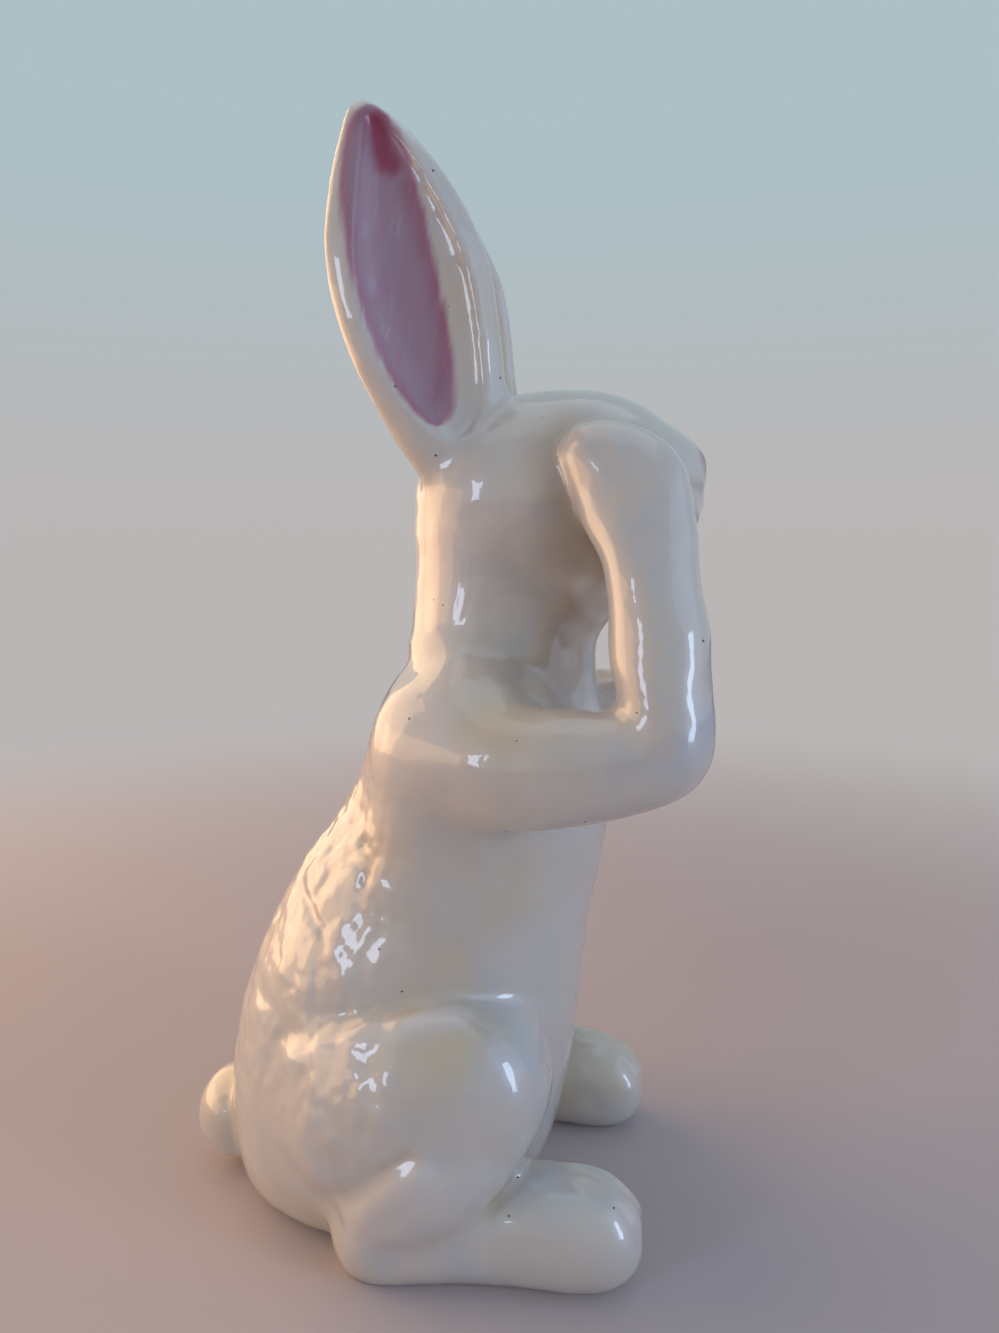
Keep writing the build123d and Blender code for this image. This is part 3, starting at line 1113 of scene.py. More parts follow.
@dataclass(frozen=True)
class HandFinish:
    """What the maker's hand left all over: slow swells, small ripples and combed fur.

    Noise stays near the middle of its range, so noise_gain widens it to the sizes given here.
    """

    swell: float = mm(0.36)
    swell_spacing: float = mm(16.0)
    ripple: float = mm(0.07)
    ripple_spacing: float = mm(5.5)
    dab: float = mm(0.38)
    dab_spacing: float = mm(7.0)
    stroke_depth: float = mm(0.22)
    stroke_width: float = mm(4.0)
    stroke_length: float = mm(16.0)
    stroke_spacing: float = mm(9.0)
    noise_gain: float = 3.0
    strokes_a_square_metre: float = 60000.0
    stroke_fall: Triple = (0.0, 0.25, -1.0)
    stroke_stray: Triple = (0.3, 0.3, 0.1)
    stroke_scales: Span = (0.35, 1.25)
    sole_height: float = mm(0.4)
    seed: int = 11

    def sizes(self, glaze: bpy.types.Material) -> dict[str, object]:
        """The value of each named input of the tree."""
        return {
            "Swell": self.swell,
            "Swell spacing": self.swell_spacing,
            "Ripple": self.ripple,
            "Ripple spacing": self.ripple_spacing,
            "Dab": self.dab,
            "Dab spacing": self.dab_spacing,
            "Stroke depth": self.stroke_depth,
            "Stroke width": self.stroke_width,
            "Stroke length": self.stroke_length,
            "Stroke spacing": self.stroke_spacing,
            "Seed": self.seed,
            "Glaze": glaze,
        }

    def build_tree(self, sizes: dict[str, object]) -> bpy.types.NodeTree:
        """Make the tree that moves the skin's points in and out.

        Args:
            sizes: The value of each named input.

        Returns:
            The tree.
        """
        tree, given = new_tree("hand_finish", sizes)
        add = partial(add_node, tree)
        still = add("GeometryNodeInputNamedAttribute", {"Name": "still"})
        fur = add("GeometryNodeInputNamedAttribute", {"Name": "fur"})
        place = add("GeometryNodeInputPosition")
        normal = add("GeometryNodeInputNormal")
        total = 0.0
        for size, mask in (("Swell", still), ("Ripple", still), ("Dab", fur)):
            spacing = given.outputs[f"{size} spacing"]
            often = add("ShaderNodeMath", {0: 1.0, 1: spacing}, operation="DIVIDE")
            noise = add("ShaderNodeTexNoise", {"Vector": place, "Scale": often, "Detail": 1.0})
            centred = add("ShaderNodeMath", {0: noise, 1: 0.5}, operation="SUBTRACT")
            wide = add(
                "ShaderNodeMath", {0: given.outputs[size], 1: self.noise_gain}, operation="MULTIPLY"
            )
            scaled = add("ShaderNodeMath", {0: centred, 1: wide}, operation="MULTIPLY")
            total = add("ShaderNodeMath", {0: scaled, 1: mask, 2: total}, operation="MULTIPLY_ADD")
        combed = self.comb(tree, given, fur, place)
        total = add("ShaderNodeMath", {0: total, 1: combed}, operation="SUBTRACT")
        push = add("ShaderNodeVectorMath", {0: normal, "Scale": total}, operation="SCALE")
        moved = add("GeometryNodeSetPosition", {"Geometry": given.outputs["Geometry"], "Offset": push})
        close_tree(tree, moved, given.outputs["Glaze"])
        return tree

    def comb(
        self, tree: bpy.types.NodeTree, given: bpy.types.Node, fur: Source, place: Source
    ) -> bpy.types.Node:
        """Lay the comb's strokes over the fur and find how deep each presses.

        Args:
            tree: The tree that gets the nodes.
            given: The node that the tree's inputs come out of.
            fur: Where there is fur, from 0 to 1.
            place: The place of each point.

        Returns:
            The node that gives the depth at each point.
        """
        add = partial(add_node, tree)
        seed = given.outputs["Seed"]
        spots = add(
            "GeometryNodeDistributePointsOnFaces",
            {
                "Mesh": given.outputs["Geometry"],
                "Distance Min": given.outputs["Stroke spacing"],
                "Density Max": self.strokes_a_square_metre,
                "Density Factor": fur,
                "Seed": seed,
            },
            distribute_method="POISSON",
        )
        out = spots.outputs["Normal"]
        outwards = add(
            "ShaderNodeVectorMath", {0: out, 1: self.stroke_fall}, operation="DOT_PRODUCT"
        ).outputs["Value"]
        lifted = add("ShaderNodeVectorMath", {0: out, "Scale": outwards}, operation="SCALE")
        along = add("ShaderNodeVectorMath", {0: self.stroke_fall, 1: lifted}, operation="SUBTRACT")
        least = tuple(-value for value in self.stroke_stray)
        stray = add(
            "FunctionNodeRandomValue",
            {"Min": least, "Max": self.stroke_stray, "Seed": seed},
            data_type="FLOAT_VECTOR",
        )
        lie = add("ShaderNodeVectorMath", {0: along, 1: stray})
        turn = add("FunctionNodeAlignRotationToVector", {"Vector": lie}, axis="X")
        length = given.outputs["Stroke length"]
        half = add("ShaderNodeMath", {0: length, 1: -0.5}, operation="MULTIPLY")
        start = add("ShaderNodeCombineXYZ", {"X": half})
        run = add("ShaderNodeCombineXYZ", {"X": length})
        stroke = add("GeometryNodeMeshLine", {"Count": 2, "Start Location": start, "Offset": run})
        least, most = self.stroke_scales
        span = {RANDOM_LEAST: least, RANDOM_MOST: most, "Seed": seed}
        scale = add("FunctionNodeRandomValue", span, data_type="FLOAT").outputs[RANDOM_RESULT]
        strokes = add(
            "GeometryNodeInstanceOnPoints",
            {"Points": spots, "Instance": stroke, "Rotation": turn, "Scale": scale},
        )
        real = add("GeometryNodeRealizeInstances", {0: strokes})
        gap = add("GeometryNodeProximity", {0: real, "Sample Position": place}, target_element="EDGES")
        pressed = add(
            "ShaderNodeMapRange",
            {
                "Value": gap.outputs["Distance"],
                "From Min": 0.0,
                "From Max": given.outputs["Stroke width"],
                "To Min": given.outputs["Stroke depth"],
                "To Max": 0.0,
            },
            interpolation_type="SMOOTHSTEP",
        )
        return add("ShaderNodeMath", {0: pressed, 1: fur}, operation="MULTIPLY")

    def apply(self, skin: Skin, glaze: bpy.types.Material) -> None:
        """Move the points of the skin, which keeps its quads."""
        rough = skin.as_mesh("skin")
        sizes = self.sizes(glaze)
        finished = run_tree(self.build_tree(sizes), rough, "finished_skin", sizes)
        skin.points = vertex_rows(finished, "co").astype(float)
        skin.points[skin.points[:, 2] < self.sole_height, 2] = 0.0
        bpy.data.meshes.remove(rough)
        bpy.data.meshes.remove(finished)


@dataclass(frozen=True)
class IronSpots:
    """Specks of iron in the clay that melted through the glaze as small brown dots."""

    spots_a_square_metre: float = 800.0
    size: float = mm(0.38)
    bead_shape: Triple = (1.0, 0.85, 0.22)
    bead_scales: Span = (0.4, 1.2)
    bead_segments: int = 8
    bead_rings: int = 4
    seed: int = 5

    def sizes(self, iron: bpy.types.Material) -> dict[str, object]:
        """The value of each named input of the tree."""
        per_metre = self.spots_a_square_metre
        return {"Density": per_metre, "Size": self.size, "Seed": self.seed, "Iron": iron}

    def build_tree(self, sizes: dict[str, object]) -> bpy.types.NodeTree:
        """Make the tree that scatters flat beads over the skin.

        Args:
            sizes: The value of each named input.

        Returns:
            The tree.
        """
        tree, given = new_tree("iron_spots", sizes)
        add = partial(add_node, tree)
        still = add("GeometryNodeInputNamedAttribute", {"Name": "still"})
        seed = given.outputs["Seed"]
        spread = {
            "Mesh": given.outputs["Geometry"],
            "Density": given.outputs["Density"],
            "Seed": seed,
            "Selection": still,
        }
        spots = add("GeometryNodeDistributePointsOnFaces", spread)
        radius = given.outputs["Size"]
        ball = {"Segments": self.bead_segments, "Rings": self.bead_rings, "Radius": radius}
        bead = add("GeometryNodeMeshUVSphere", ball)
        flat = add("GeometryNodeTransform", {"Geometry": bead, "Scale": self.bead_shape})
        least, most = self.bead_scales
        span = {RANDOM_LEAST: least, RANDOM_MOST: most, "Seed": seed}
        scale = add("FunctionNodeRandomValue", span, data_type="FLOAT").outputs[RANDOM_RESULT]
        turn = spots.outputs["Rotation"]
        beads = add(
            "GeometryNodeInstanceOnPoints",
            {"Points": spots, "Instance": flat, "Rotation": turn, "Scale": scale},
        )
        close_tree(tree, beads, given.outputs["Iron"])
        return tree

    def scatter(self, skin: Skin, iron: bpy.types.Material) -> bpy.types.Mesh:
        """Scatter the spots over the outside of the finished skin.

        Args:
            skin: The finished skin.
            iron: The spots' material.

        Returns:
            One mesh with all the spots.
        """
        carrier = skin.as_mesh("spot_carrier")
        sizes = self.sizes(iron)
        mesh = run_tree(self.build_tree(sizes), carrier, "iron_spots", sizes)
        bpy.data.meshes.remove(carrier)
        return mesh


@dataclass(frozen=True)
class Finish:
    """What all finishes share: how a material is made, and how colours are laid over it."""

    name: str

    def build(self) -> bpy.types.Material:
        """Make the material.

        Returns:
            The material.
        """
        material = bpy.data.materials.new(self.name)
        material.use_nodes = True
        material.node_tree.nodes.clear()
        add = partial(add_node, material.node_tree)
        place = add("ShaderNodeTexCoord").outputs["Object"]
        add("ShaderNodeOutputMaterial", {"Surface": self.surface(add, place)})
        return material

    def surface(self, add: Adder, place: Source) -> bpy.types.Node:
        """Make what the light meets, from the place on the object."""
        raise NotImplementedError

    def lay_over(self, add: Adder, ground: object, layers: Sequence[Layer]) -> bpy.types.NodeSocket:
        """Lay colours over a ground, each where its own value crosses a span.

        Args:
            add: What adds a node to the material.
            ground: The colour that lies lowest.
            layers: For each colour its value, the two ends of the span, and the colour.

        Returns:
            The colour on top.
        """
        for amount, (none, full), colour in layers:
            share = add(
                "ShaderNodeMapRange",
                {"Value": amount, "From Min": none, "From Max": full},
                interpolation_type="SMOOTHSTEP",
            )
            blend = {0: share, MIX_UNDER: ground, MIX_OVER: linear(colour)}
            ground = add("ShaderNodeMix", blend, data_type="RGBA").outputs[MIX_RESULT]
        return ground


@dataclass(frozen=True)
class MilkGlaze(Finish):
    """Tin-white earthenware glaze, dipped thick over a buff clay.

    It gives the eye an ivory white that is warmer and darker where the glaze pooled in a crease
    and paler where it ran thin over an edge, under a glassy and faintly rippled surface. A warm
    brown shade is painted into wide hollows, where little light falls. Pink underglaze that was
    brushed on before the dip shows through it where the paint fact says so.
    """

    name: str = "tin_white_glaze"
    main: str = "D6CFC2"
    cool: str = "C6C8C8"
    warm: str = "D6C6A8"
    pooled: str = "C4B69C"
    # The warm brown of the shade painted into wide hollows
    painted_shade_colour: str = "A88C66"
    thin: str = "DDD8CE"
    mauve: str = "A98794"
    rose: str = "B4788A"
    crimson: str = "963553"
    pale: str = "BBA3AB"
    clay_roughness: float = 0.34
    clay_ior: float = 1.5
    glass_roughness: float = 0.03
    paint_roughness: float = 0.20
    paint_coat: float = 0.35
    glass_ior: float = 1.52
    mottle_spacing: float = mm(26.0)
    ripple_spacing: float = mm(6.5)
    ripple_height: float = mm(0.10)
    glow_share: float = 0.12
    glow_radius: Triple = (1.0, 0.7, 0.45)
    glow_depth: float = mm(2.2)
    cool_span: Span = (0.45, 0.72)
    warm_span: Span = (0.50, 0.72)
    # Where the painted shade in hollows starts and where it is full
    painted_shade_span: Span = (0.05, 0.62)
    pooled_span: Span = (0.10, 1.1)
    thin_span: Span = (-0.25, -1.0)
    bristle_spacing: float = mm(2.4)
    bristle_stretch: float = 0.10
    bristle_blush: float = 0.6
    bristle_fray: float = 0.30
    ear_lean: float = 14.0
    cover_span: Span = (0.58, 0.84)
    edge_span: Span = (0.85, 0.60)
    pale_span: Span = (0.56, 0.82)
    rose_span: Span = (0.46, 0.22)
    crimson_span: Span = (0.40, 1.35)

    def surface(self, add: Adder, place: Source) -> bpy.types.Node:
        """Make the glaze over the paint, from the place on the object."""
        pooling = add("ShaderNodeAttribute", attribute_name="pooling").outputs["Fac"]
        # The share of brown shade painted into wide hollows, where little light falls
        shelter = add("ShaderNodeAttribute", attribute_name="shelter").outputs["Fac"]
        mottle = {"Vector": place, "Scale": 1.0 / self.mottle_spacing, "Detail": 4.0}
        drift = {"Vector": place, "Scale": 0.5 / self.mottle_spacing, "Detail": 2.0}
        layers = [
            (add("ShaderNodeTexNoise", mottle), self.cool_span, self.cool),
            (add("ShaderNodeTexNoise", drift), self.warm_span, self.warm),
            # Painted shade: warm brown laid into wide hollows
            (shelter, self.painted_shade_span, self.painted_shade_colour),
            (pooling, self.pooled_span, self.pooled),
            (pooling, self.thin_span, self.thin),
        ]
        glaze = self.lay_over(add, linear(self.main), layers)
        painted, cover = self.underglaze(add, glaze, place)
        gloss = {"Value": cover, "To Min": self.glass_roughness, "To Max": self.paint_roughness}
        depth = {"Value": cover, "To Min": 1.0, "To Max": self.paint_coat}
        waves = add(
            "ShaderNodeTexNoise",
            {"Vector": place, "Scale": 1.0 / self.ripple_spacing, "Detail": 1.5},
        )
        ripples = add("ShaderNodeBump", {"Distance": self.ripple_height, "Height": waves})
        surface = {
            "Base Color": painted,
            "Roughness": self.clay_roughness,
            "IOR": self.clay_ior,
            "Subsurface Weight": self.glow_share,
            "Subsurface Radius": self.glow_radius,
            "Subsurface Scale": self.glow_depth,
            "Coat Weight": add("ShaderNodeMapRange", depth),
            "Coat Roughness": add("ShaderNodeMapRange", gloss),
            "Coat IOR": self.glass_ior,
            "Normal": ripples,
            "Coat Normal": ripples,
        }
        return add("ShaderNodeBsdfPrincipled", surface)

    def underglaze(
        self, add: Adder, glaze: Source, place: Source
    ) -> tuple[bpy.types.NodeSocket, bpy.types.Node]:
        """Lay the pink under the glaze, in long brush strokes with a soft uneven edge.

        Args:
            add: What adds a node to the material.
            glaze: The colour beside the paint.
            place: The place on the object.

        Returns:
            The colour with the paint, and how much the paint covers.
        """
        paint = add("ShaderNodeAttribute", attribute_name="paint").outputs["Fac"]
        blush = add("ShaderNodeAttribute", attribute_name="blush").outputs["Fac"]
        along = {
            "Vector": place,
            "Rotation": (math.radians(self.ear_lean), 0.0, 0.0),
            "Scale": (1.0, 1.0, 1.0 / self.bristle_stretch),
        }
        strokes = {
            "Vector": add("ShaderNodeMapping", along, vector_type="TEXTURE"),
            "Scale": 1.0 / self.bristle_spacing,
            "Detail": 3.0,
            "Roughness": 0.6,
        }
        bristles = add("ShaderNodeTexNoise", strokes)
        streaked, frayed = (
            add("ShaderNodeMath", {0: bristles, 1: gain, 2: fact}, operation="MULTIPLY_ADD")
            for gain, fact in ((self.bristle_blush, blush), (self.bristle_fray, paint))
        )
        layers = [
            (paint, self.edge_span, self.rose),
            (bristles, self.pale_span, self.pale),
            (bristles, self.rose_span, self.rose),
            (streaked, self.crimson_span, self.crimson),
        ]
        loaded = self.lay_over(add, linear(self.mauve), layers)
        none, full = self.cover_span
        cover = add(
            "ShaderNodeMapRange",
            {"Value": frayed, "From Min": none, "From Max": full},
            interpolation_type="SMOOTHSTEP",
        )
        blend = {0: cover, MIX_UNDER: glaze, MIX_OVER: loaded}
        return add("ShaderNodeMix", blend, data_type="RGBA").outputs[MIX_RESULT], cover


@dataclass(frozen=True)
class BareClay(Finish):
    """Biscuit-fired buff earthenware, wiped free of glaze so that it doesn't stick in the kiln.

    It gives the eye a dry, pinkish cream with sandy grains and darker scorched stains.
    """

    name: str = "bare_biscuit_clay"
    main: str = "D3C1A8"
    stained: str = "B2977A"
    stained_span: Span = (0.40, 0.70)
    stain_spacing: float = mm(9.0)
    grain_spacing: float = mm(0.9)
    grain_height: float = mm(0.12)
    roughness: float = 0.85
    ior: float = 1.45

    def surface(self, add: Adder, place: Source) -> bpy.types.Node:
        """Make the sandy clay, from the place on the object."""
        patches = {"Vector": place, "Scale": 1.0 / self.stain_spacing, "Detail": 5.0}
        stains = add("ShaderNodeTexNoise", patches)
        colour = self.lay_over(add, linear(self.main), [(stains, self.stained_span, self.stained)])
        sand = {"Vector": place, "Scale": 1.0 / self.grain_spacing, "Detail": 2.0}
        grains = add("ShaderNodeTexNoise", sand)
        rough = add("ShaderNodeBump", {"Distance": self.grain_height, "Height": grains})
        return add(
            "ShaderNodeBsdfPrincipled",
            {"Base Color": colour, "Roughness": self.roughness, "IOR": self.ior, "Normal": rough},
        )


@dataclass(frozen=True)
class MeltedIron(Finish):
    """Iron oxide melted into the glaze: a dark brown dot with a warmer part, as glossy as it."""

    name: str = "melted_iron_speck"
    main: str = "51432F"
    warmer: str = "857058"
    warmer_span: Span = (0.42, 0.62)
    grain_spacing: float = mm(1.2)
    roughness: float = 0.3
    glass_roughness: float = 0.05

    def surface(self, add: Adder, place: Source) -> bpy.types.Node:
        """Make the glassy dot, from the place on the object."""
        patches = {"Vector": place, "Scale": 1.0 / self.grain_spacing, "Detail": 2.0}
        grains = add("ShaderNodeTexNoise", patches)
        colour = self.lay_over(add, linear(self.main), [(grains, self.warmer_span, self.warmer)])
        surface = {
            "Base Color": colour,
            "Roughness": self.roughness,
            "Coat Weight": 1.0,
            "Coat Roughness": self.glass_roughness,
        }
        return add("ShaderNodeBsdfPrincipled", surface)


@dataclass(frozen=True)
class MattPaper(Finish):
    """Pale matt paper, which runs out into the colour of the backdrop far from the figure."""

    name: str = "matt_paper"
    main: str = "CABFBD"
    backdrop: str = "BBB6B6"
    roughness: float = 0.8
    fade_span: Span = (0.18, 0.85)

    def surface(self, add: Adder, place: Source) -> bpy.types.Node:
        """Make the paper, which only the camera sees fade, from the place on the floor."""
        look = {"Base Color": linear(self.main), "Roughness": self.roughness}
        paper = add("ShaderNodeBsdfPrincipled", look)
        away = add("ShaderNodeVectorMath", {0: place}, operation="LENGTH").outputs["Value"]
        near, far = self.fade_span
        fade = add(
            "ShaderNodeMapRange",
            {"Value": away, "From Min": near, "From Max": far},
            interpolation_type="SMOOTHSTEP",
        )
        seen = add("ShaderNodeLightPath").outputs["Is Camera Ray"]
        share = add("ShaderNodeMath", {0: fade, 1: seen}, operation="MULTIPLY")
        backdrop = add("ShaderNodeEmission", {"Color": linear(self.backdrop)})
        return add("ShaderNodeMixShader", {0: share, 1: paper, 2: backdrop})


@dataclass(frozen=True)
class Cutter:
    """Cuts the skin along its creases into a piece for each casting and two for the hollow."""

    glaze: bpy.types.Material
    clay: bpy.types.Material
    rings: int = 6
    least_loop: int = 8
    neck_half_width: float = mm(6)
    tail_front: float = mm(45)
    sole_height: float = mm(0.25)

    def cut(self, skin: Skin, figure: Figure) -> list[bpy.types.Object]:
        """Cut the skin and dress its pieces.

        Args:
            skin: The finished skin.
            figure: The figure that it covers.

        Returns:
            The pieces, which ride on the body and stand for the castings' nodes.
        """
        normals = skin.normals()
        parts = figure.parts()
        claims = skin.claims[skin.quads].mean(axis=1).argmax(axis=1)
        hollow = skin.facts["hollow"][skin.quads].mean(axis=1) > 0.5
        owner = np.where(hollow, len(parts), claims)
        pieces = []
        for number, (casting, node) in enumerate(parts):
            faces = skin.quads[owner == number]
            backing = self.backing(node, casting, parts)
            mesh = self.piece_mesh(skin, normals, faces, f"{node}_glaze", backing)
            pieces.append(self.dress(mesh, node))
        in_head = claims == [node for _, node in parts].index("head_shell")
        hollows = (
            ("torso_hollow", "body_shell", hollow & ~in_head),
            ("head_hollow", "head_shell", hollow & in_head),
        )
        for name, node, own in hollows:
            mesh = self.piece_mesh(skin, normals, skin.quads[own], name, None)
            mesh.materials[0] = self.clay
            pieces.append(self.dress(mesh, node))
        return pieces

    def backing(self, node: str, casting: Casting, parts: list[tuple[Casting, str]]) -> BVHTree:
        """The surface that closes a piece where others are stuck to it.

        Args:
            node: The piece's node.
            casting: The piece's casting.
            parts: Every node with its casting.

        Returns:
            A search tree over the faces that the neighbours meet in.
        """
        nodes = [node]
        if casting.role is Host.CARRIER:
            nodes = [name for other, name in parts if other.role is Host.APPLIED]
        points, triangles = merged(solid_of(name) for name in nodes)
        return BVHTree.FromPolygons(points.tolist(), triangles.tolist())

    def loops(self, faces: Array) -> list[list[int]]:
        """Follow the open edges of some quads.

        Args:
            faces: The quads.

        Returns:
            Closed loops of point numbers, against the turn of the quads beside them.
        """
        starts = faces.ravel()
        ends = np.roll(faces, -1, axis=1).ravel()
        there = set(zip(starts.tolist(), ends.tolist()))
        onwards: dict[int, list[int]] = {}
        for start, end in there:
            if (end, start) not in there:
                onwards.setdefault(end, []).append(start)
        found = []
        while onwards:
            loop = [min(onwards)]
            while len(loop) == 1 or loop[-1] != loop[0]:
                here = loop[-1]
                loop.append(onwards[here].pop())
                if not onwards[here]:
                    del onwards[here]
            found.append(loop[:-1])
        return found

    def piece_mesh(
        self, skin: Skin, normals: Array, faces: Array, name: str, backing: BVHTree | None
    ) -> bpy.types.Mesh:
        """Make one piece of the skin a mesh of its own, closed where it was stuck on.

        Args:
            skin: The finished skin.
            normals: The direction outwards at each point of the whole skin.
            faces: The piece's quads.
            name: The mesh's name.
            backing: The surface that closes the piece, or None to leave it open.

        Returns:
            The mesh.
        """
        used, local = np.unique(faces, return_inverse=True)
        local = local.reshape(faces.shape)
        points = [skin.points[used]]
        polygons = local.tolist()
        if backing is not None:
            for loop in self.loops(local):
                rim = points[0][loop]
                if len(loop) >= self.least_loop and self.is_joint(rim):
                    self.close(points, polygons, loop, rim, backing)
        mesh = bpy.data.meshes.new(name)
        mesh.from_pydata(np.concatenate(points).tolist(), [], polygons)
        mesh.update()
        for fact in ("pooling", "shelter", "paint", "blush"):
            values = np.zeros(len(mesh.vertices))
            values[: len(used)] = skin.facts[fact][used]
            note_fact(mesh, fact, values)
        mesh.shade_smooth()
        own = vertex_rows(mesh, "normal")
        own[: len(used)] = normals[used]
        mesh.normals_split_custom_set_from_vertices(own.tolist())
        mesh.materials.append(self.glaze)
        mesh.materials.append(self.clay)
        flat = np.array([polygon.center.z < self.sole_height for polygon in mesh.polygons])
        mesh.polygons.foreach_set("material_index", flat.astype(np.int32))
        return mesh

    def is_joint(self, rim: Array) -> bool:
        """Whether a loop goes round an applied casting, and not the neck or the pour hole."""
        middle = rim.mean(axis=0)
        return bool(abs(middle[0]) > self.neck_half_width or middle[1] > self.tail_front)

    def close(
        self,
        points: list[Array],
        polygons: list[list[int]],
        loop: list[int],
        rim: Array,
        backing: BVHTree,
    ) -> None:
        """Close a loop with rings that lie on the face where two castings meet.

        Args:
            points: The piece's blocks of points, to which the rings are added.
            polygons: The piece's polygons, to which the closing ones are added.
            loop: The loop's point numbers.
            rim: The loop's points.
            backing: The face where the castings meet.
        """
        middle = rim.mean(axis=0)
        around = len(loop)
        outer = list(loop)
        for ring in range(1, self.rings):
            share = ring / self.rings
            places = rim + share * (middle - rim)
            snapped = [backing.find_nearest(Vector(place))[0] for place in places]
            first = sum(len(block) for block in points)
            points.append(np.array([tuple(place) for place in snapped]))
            inner = list(range(first, first + around))
            for k in range(around):
                after = (k + 1) % around
                polygons.append([outer[k], outer[after], inner[after], inner[k]])
            outer = inner
        centre = sum(len(block) for block in points)
        points.append(np.array([tuple(backing.find_nearest(Vector(middle))[0])]))
        for k in range(around):
            polygons.append([outer[k], outer[(k + 1) % around], centre])

    def dress(self, mesh: bpy.types.Mesh, node: str) -> bpy.types.Object:
        """Put a piece into the scene, on the body and in place of its node.

        Args:
            mesh: The piece's mesh.
            node: The node that the piece stands for.

        Returns:
            The piece.
        """
        piece = into_scene(mesh.name, mesh)
        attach(piece, BODY)
        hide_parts(node)
        log.info("%s: %d polygons", piece.name, len(mesh.polygons))
        return piece


@dataclass(frozen=True)
class Softbox:
    """A lamp behind a sheet of diffusing cloth, which faces the middle of the figure."""

    name: str
    place: Place
    size: tuple[float, float]
    watts: float
    colour: str
    target: Place = (0.0, 0.0, 0.14)

    def hang(self) -> None:
        """Hang the lamp and turn it to the figure."""
        lamp = bpy.data.lights.new(self.name, "AREA")
        lamp.shape = "RECTANGLE"
        lamp.size, lamp.size_y = self.size
        lamp.energy = self.watts
        lamp.color = linear(self.colour)[:3]
        holder = into_scene(self.name, lamp)
        holder.location = self.place
        aim = Vector(self.target) - Vector(self.place)
        holder.rotation_euler = aim.to_track_quat("-Z", "Y").to_euler()


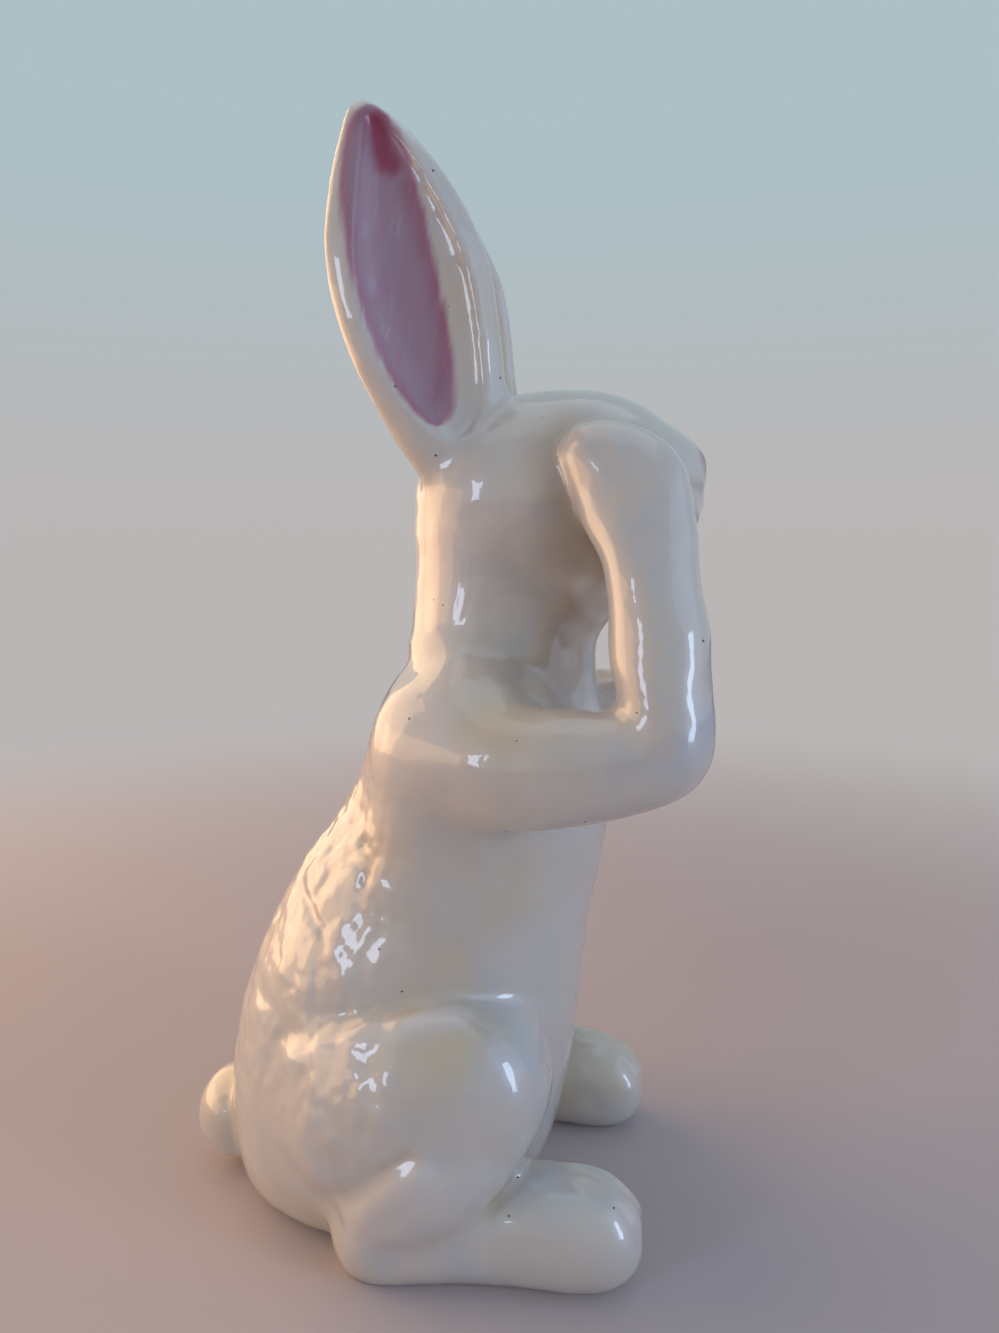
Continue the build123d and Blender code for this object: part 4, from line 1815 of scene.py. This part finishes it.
@dataclass(frozen=True)
class Studio:
    """A pale floor, soft lamps and a camera at the photograph's angle."""

    floor_size: float = 8.0
    low_backdrop: str = "BBB6B6"
    high_backdrop: str = "ACC0C6"
    backdrop_heights: Span = (-0.02, 0.40)
    air_colour: str = "D9E3F8"
    air_strength: float = 0.28
    softboxes: tuple[Softbox, ...] = (
        Softbox("warm_back_softbox", (0.35, 1.00, 0.52), (1.30, 1.15), 9.8, "FFCA93"),
        Softbox("low_warm_softbox", (-0.14, 0.92, 0.19), (1.00, 0.36), 2.1, "FFCA93"),
        Softbox("cool_front_softbox", (-0.30, -1.20, 0.60), (1.20, 1.00), 2.7, "B9D0FF"),
        Softbox("front_window", (-0.38, -0.85, 0.24), (0.16, 0.46), 2.0, "C9DEFF"),
        Softbox("near_window", (-0.80, 0.66, 0.33), (0.18, 0.34), 1.4, "D4E3FF"),
        Softbox("top_softbox", (0.10, 0.0, 1.3), (1.2, 1.2), 2.0, "FFFFFF"),
    )
    camera_place: Place = (-0.279, -0.0583, 0.188)
    camera_pitch: float = 6.65
    camera_yaw: float = 8.0
    camera_lens: float = 27.0
    camera_sensor: float = 36.0
    nearest_seen: float = 0.01

    def build(self) -> None:
        """Set up the floor, the air, the lamps and the camera."""
        self.lay_floor()
        self.fill_air()
        for softbox in self.softboxes:
            softbox.hang()
        self.stand_camera()

    def lay_floor(self) -> None:
        """Lay a floor of matt pale paper that runs out into the backdrop's colour."""
        half = 0.5 * self.floor_size
        mesh = bpy.data.meshes.new("floor")
        corners = [(-half, -half, 0.0), (half, -half, 0.0), (half, half, 0.0), (-half, half, 0.0)]
        mesh.from_pydata(corners, [], [(0, 1, 2, 3)])
        mesh.materials.append(MattPaper(backdrop=self.low_backdrop).build())
        floor = into_scene("floor", mesh)
        floor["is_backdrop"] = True

    def fill_air(self) -> None:
        """Fill the studio with soft light, behind which a pale backdrop shows."""
        world = bpy.data.worlds.new("studio_air")
        bpy.context.scene.world = world
        world.use_nodes = True
        world.node_tree.nodes.clear()
        add = partial(add_node, world.node_tree)
        path = add("ShaderNodeLightPath")
        seen = path.outputs["Is Camera Ray"]
        for kind in ("Is Glossy Ray", "Is Transmission Ray"):
            either = {0: seen, 1: path.outputs[kind]}
            seen = add("ShaderNodeMath", either, operation="MAXIMUM")
        direction = add("ShaderNodeTexCoord").outputs["Generated"]
        height = add("ShaderNodeSeparateXYZ", {0: direction}).outputs["Z"]
        start, end = self.backdrop_heights
        share = add(
            "ShaderNodeMapRange",
            {"Value": height, "From Min": start, "From Max": end},
            interpolation_type="SMOOTHSTEP",
        )
        low, high = linear(self.low_backdrop), linear(self.high_backdrop)
        blend = {0: share, MIX_UNDER: low, MIX_OVER: high}
        backdrop = add("ShaderNodeMix", blend, data_type="RGBA").outputs[MIX_RESULT]
        shown = add("ShaderNodeBackground", {"Color": backdrop})
        lit = {"Color": linear(self.air_colour), "Strength": self.air_strength}
        air = add("ShaderNodeBackground", lit)
        either = add("ShaderNodeMixShader", {0: seen, 1: air, 2: shown})
        add("ShaderNodeOutputWorld", {"Surface": either})

    def stand_camera(self) -> None:
        """Stand the camera where the photograph was taken from."""
        pitch = math.radians(self.camera_pitch)
        yaw = math.radians(self.camera_yaw)
        level = math.cos(pitch)
        aim = Vector((level * math.cos(yaw), level * math.sin(yaw), -math.sin(pitch)))
        lens = bpy.data.cameras.new("camera")
        lens.sensor_width = self.camera_sensor
        lens.lens = self.camera_lens
        lens.clip_start = self.nearest_seen
        camera = into_scene("camera", lens)
        camera.location = self.camera_place
        camera.rotation_euler = aim.to_track_quat("-Z", "Y").to_euler()
        bpy.context.scene.camera = camera


def main() -> None:
    """Build the rabbit's skin, cut it into pieces and set up the studio."""
    logging.basicConfig(level=logging.INFO, format="%(name)s: %(message)s")
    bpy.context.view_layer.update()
    bpy.context.scene.view_settings.view_transform = "Standard"
    glaze = MilkGlaze().build()
    clay = BareClay().build()
    iron = MeltedIron().build()
    figure = Figure((Torso(), Head(), Ears(), Arms(), Haunches(), Feet(), Tail()))
    skin = figure.mould()
    figure.tool(skin)
    HandFinish().apply(skin, glaze)
    pieces = Cutter(glaze, clay).cut(skin, figure)
    spots = into_scene("iron_spots", IronSpots().scatter(skin, iron))
    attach(spots, BODY)
    log.info("%d pieces and %s with %d polygons", len(pieces), spots.name, len(spots.data.polygons))
    Studio().build()
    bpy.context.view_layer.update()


if __name__ == "__main__":
    main()
